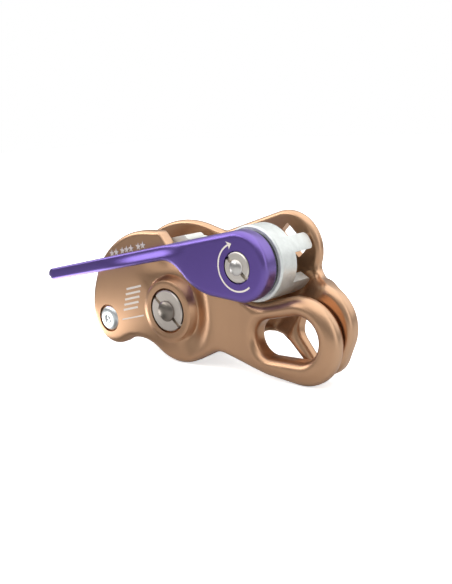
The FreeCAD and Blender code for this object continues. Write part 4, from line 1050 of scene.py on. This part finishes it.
class BELAY_OT_studio(bpy.types.Operator):
    """Sets up the pale floor, the soft lights and the camera"""
    bl_idname = "belay.studio"
    bl_label = "Studio"

    def execute(self, context):
        settings = context.scene.belay_studio
        context.scene.view_settings.view_transform = "Standard"
        self.lay_floor(context.scene)
        self.surround(context.scene, settings.world)
        lamp("Overhead", (-0.05, -0.05, 0.45), (0.9, 0.9), settings.key)
        lamp("Left side", (-0.42, -0.28, 0.25), (0.55, 0.13), settings.side)
        lamp("Right side", (0.42, -0.10, 0.14), (0.22, 0.4), settings.side * 0.35)
        lamp("Back right", (0.28, 0.40, 0.28), (0.6, 0.45), settings.back)
        self.aim_camera(context.scene)
        return {"FINISHED"}

    def lay_floor(self, scene):
        mesh = bpy.data.meshes.new("studio_floor")
        work = bmesh.new()
        bmesh.ops.create_grid(work, x_segments=2, y_segments=2, size=1.6)
        work.to_mesh(mesh)
        work.free()
        floor = bpy.data.objects.new("studio_floor", mesh)
        scene.collection.objects.link(floor)
        material, tree, shader = new_material("Studio floor")
        glossy = add(tree, "ShaderNodeLightPath").outputs["Is Glossy Ray"]
        where = add(tree, "ShaderNodeTexCoord").outputs["Object"]
        across = add(tree, "ShaderNodeSeparateXYZ", {0: where}).outputs["X"]

        def reach(x, y):
            return vector_maths(tree, "DISTANCE", {0: where, 1: (x, y, 0)})["Value"]

        def fade(value, low, high, first, last):
            return add(tree, "ShaderNodeMapRange", interpolation_type="SMOOTHSTEP", inputs={
                "Value": value, "From Min": low, "From Max": high,
                "To Min": first, "To Max": last}).outputs["Result"]

        # The floor is pale to the camera; in reflections it is painted shade, darkest in front of
        # the boss and far out at the left, with a glowing patch between the two for a painted
        # highlight
        painted_reflection_shade = maths(tree, "MULTIPLY", fade(across, -0.12, -0.05, 0.34, 0.62),
                    fade(reach(-0.036, -0.026), 0.010, 0.028, 0.25, 1.0))
        tone = add(tree, "ShaderNodeMix", data_type="FLOAT", inputs={
            "Factor": glossy, "A": 0.93, "B": painted_reflection_shade}).outputs["Result"]
        # A glow that only reflections see: a painted highlight beside the boss, where no lamp
        # stands
        painted_reflection_glow = maths(tree, "MULTIPLY", glossy,
                       fade(reach(-0.068, -0.012), 0.012, 0.034, 4.2, 0.0))
        feed(tree, shader, {"Roughness": 0.9, "Specular IOR Level": 0.0, "Base Color": tone,
                            "Emission Color": (1, 1, 1, 1), "Emission Strength": painted_reflection_glow})
        glow = add(tree, "ShaderNodeEmission", {"Color": (0.62, 0.62, 0.62, 1)})
        both = add(tree, "ShaderNodeAddShader", {0: shader.outputs[0], 1: glow.outputs[0]})
        show(tree, "Material Output", shader, both)
        mesh.materials.append(material)

    def surround(self, scene, strength):
        """Surroundings that are white to the camera and pale to everything else."""
        world = bpy.data.worlds.new("Studio")
        scene.world = world
        world.use_nodes = True
        tree = world.node_tree
        where = add(tree, "ShaderNodeTexCoord").outputs["Generated"]
        split = add(tree, "ShaderNodeSeparateXYZ", {0: where})
        band = add(tree, "ShaderNodeValToRGB", {"Fac": split.outputs["Z"]})
        low, high = band.color_ramp.elements
        low.position, low.color = 0.1, (0.26, 0.26, 0.27, 1)
        high.position, high.color = 0.6, (0.85, 0.85, 0.85, 1)
        sky = feed(tree, tree.nodes["Background"],
                   {"Color": band.outputs["Color"], "Strength": strength})
        white = add(tree, "ShaderNodeBackground", {"Color": (1, 1, 1, 1), "Strength": 1.0})
        show(tree, "World Output", sky, white)

    def aim_camera(self, scene):
        """The photograph's viewpoint, fitted from the device's own circles."""
        data = bpy.data.cameras.new("Photo view")
        camera = bpy.data.objects.new("Photo view", data)
        scene.collection.objects.link(camera)
        width, height, focal = 452, 584, 878.6
        data.sensor_width = 36.0
        data.lens = focal * data.sensor_width / max(width, height)
        right = Vector((0.7532, 0.6561, -0.0474)).normalized()
        back = Vector((0.6505, -0.7323, 0.2015))
        back = (back - right * back.dot(right)).normalized()
        up = back.cross(right)
        turn = Matrix((right, up, back)).transposed()
        camera.matrix_world = Matrix.Translation(place(181.73, -177.93, 57.03)) @ turn.to_4x4()
        data.clip_start, data.clip_end = 0.005, 20
        scene.camera = camera


class BELAY_PT_panel(bpy.types.Panel):
    """Lists the pieces in the order they are made"""
    bl_idname = "BELAY_PT_panel"
    bl_label = "Belay Device"
    bl_space_type = "VIEW_3D"
    bl_region_type = "UI"
    bl_category = "Belay Device"

    def draw(self, context):
        for group in ("belay_plate", "belay_lever", "belay_marks", "belay_studio"):
            settings = getattr(context.scene, group)
            box = self.layout.box()
            for name in settings.__annotations__:
                box.prop(settings, name)
        for operator in OPERATORS:
            self.layout.operator(operator.bl_idname)


SETTINGS = {"belay_plate": PlateSettings, "belay_lever": LeverSettings,
            "belay_marks": MarkSettings, "belay_studio": StudioSettings}
OPERATORS = (BELAY_OT_finishes, BELAY_OT_front_plate, BELAY_OT_rear_plate, BELAY_OT_lever,
             BELAY_OT_axle_ends, BELAY_OT_marks, BELAY_OT_studio)


def register():
    for settings in SETTINGS.values():
        bpy.utils.register_class(settings)
    for name, settings in SETTINGS.items():
        setattr(bpy.types.Scene, name, PointerProperty(type=settings))
    for operator in OPERATORS:
        bpy.utils.register_class(operator)
    bpy.utils.register_class(BELAY_PT_panel)


def unregister():
    bpy.utils.unregister_class(BELAY_PT_panel)
    for operator in reversed(OPERATORS):
        bpy.utils.unregister_class(operator)
    for name, settings in SETTINGS.items():
        delattr(bpy.types.Scene, name)
        bpy.utils.unregister_class(settings)


def main():
    register()
    bpy.ops.belay.finishes()
    bpy.ops.belay.front_plate()
    bpy.ops.belay.rear_plate()
    bpy.ops.belay.lever()
    bpy.ops.belay.axle_ends()
    bpy.ops.belay.marks()
    bpy.ops.belay.studio()
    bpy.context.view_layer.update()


if __name__ == "__main__":
    main()
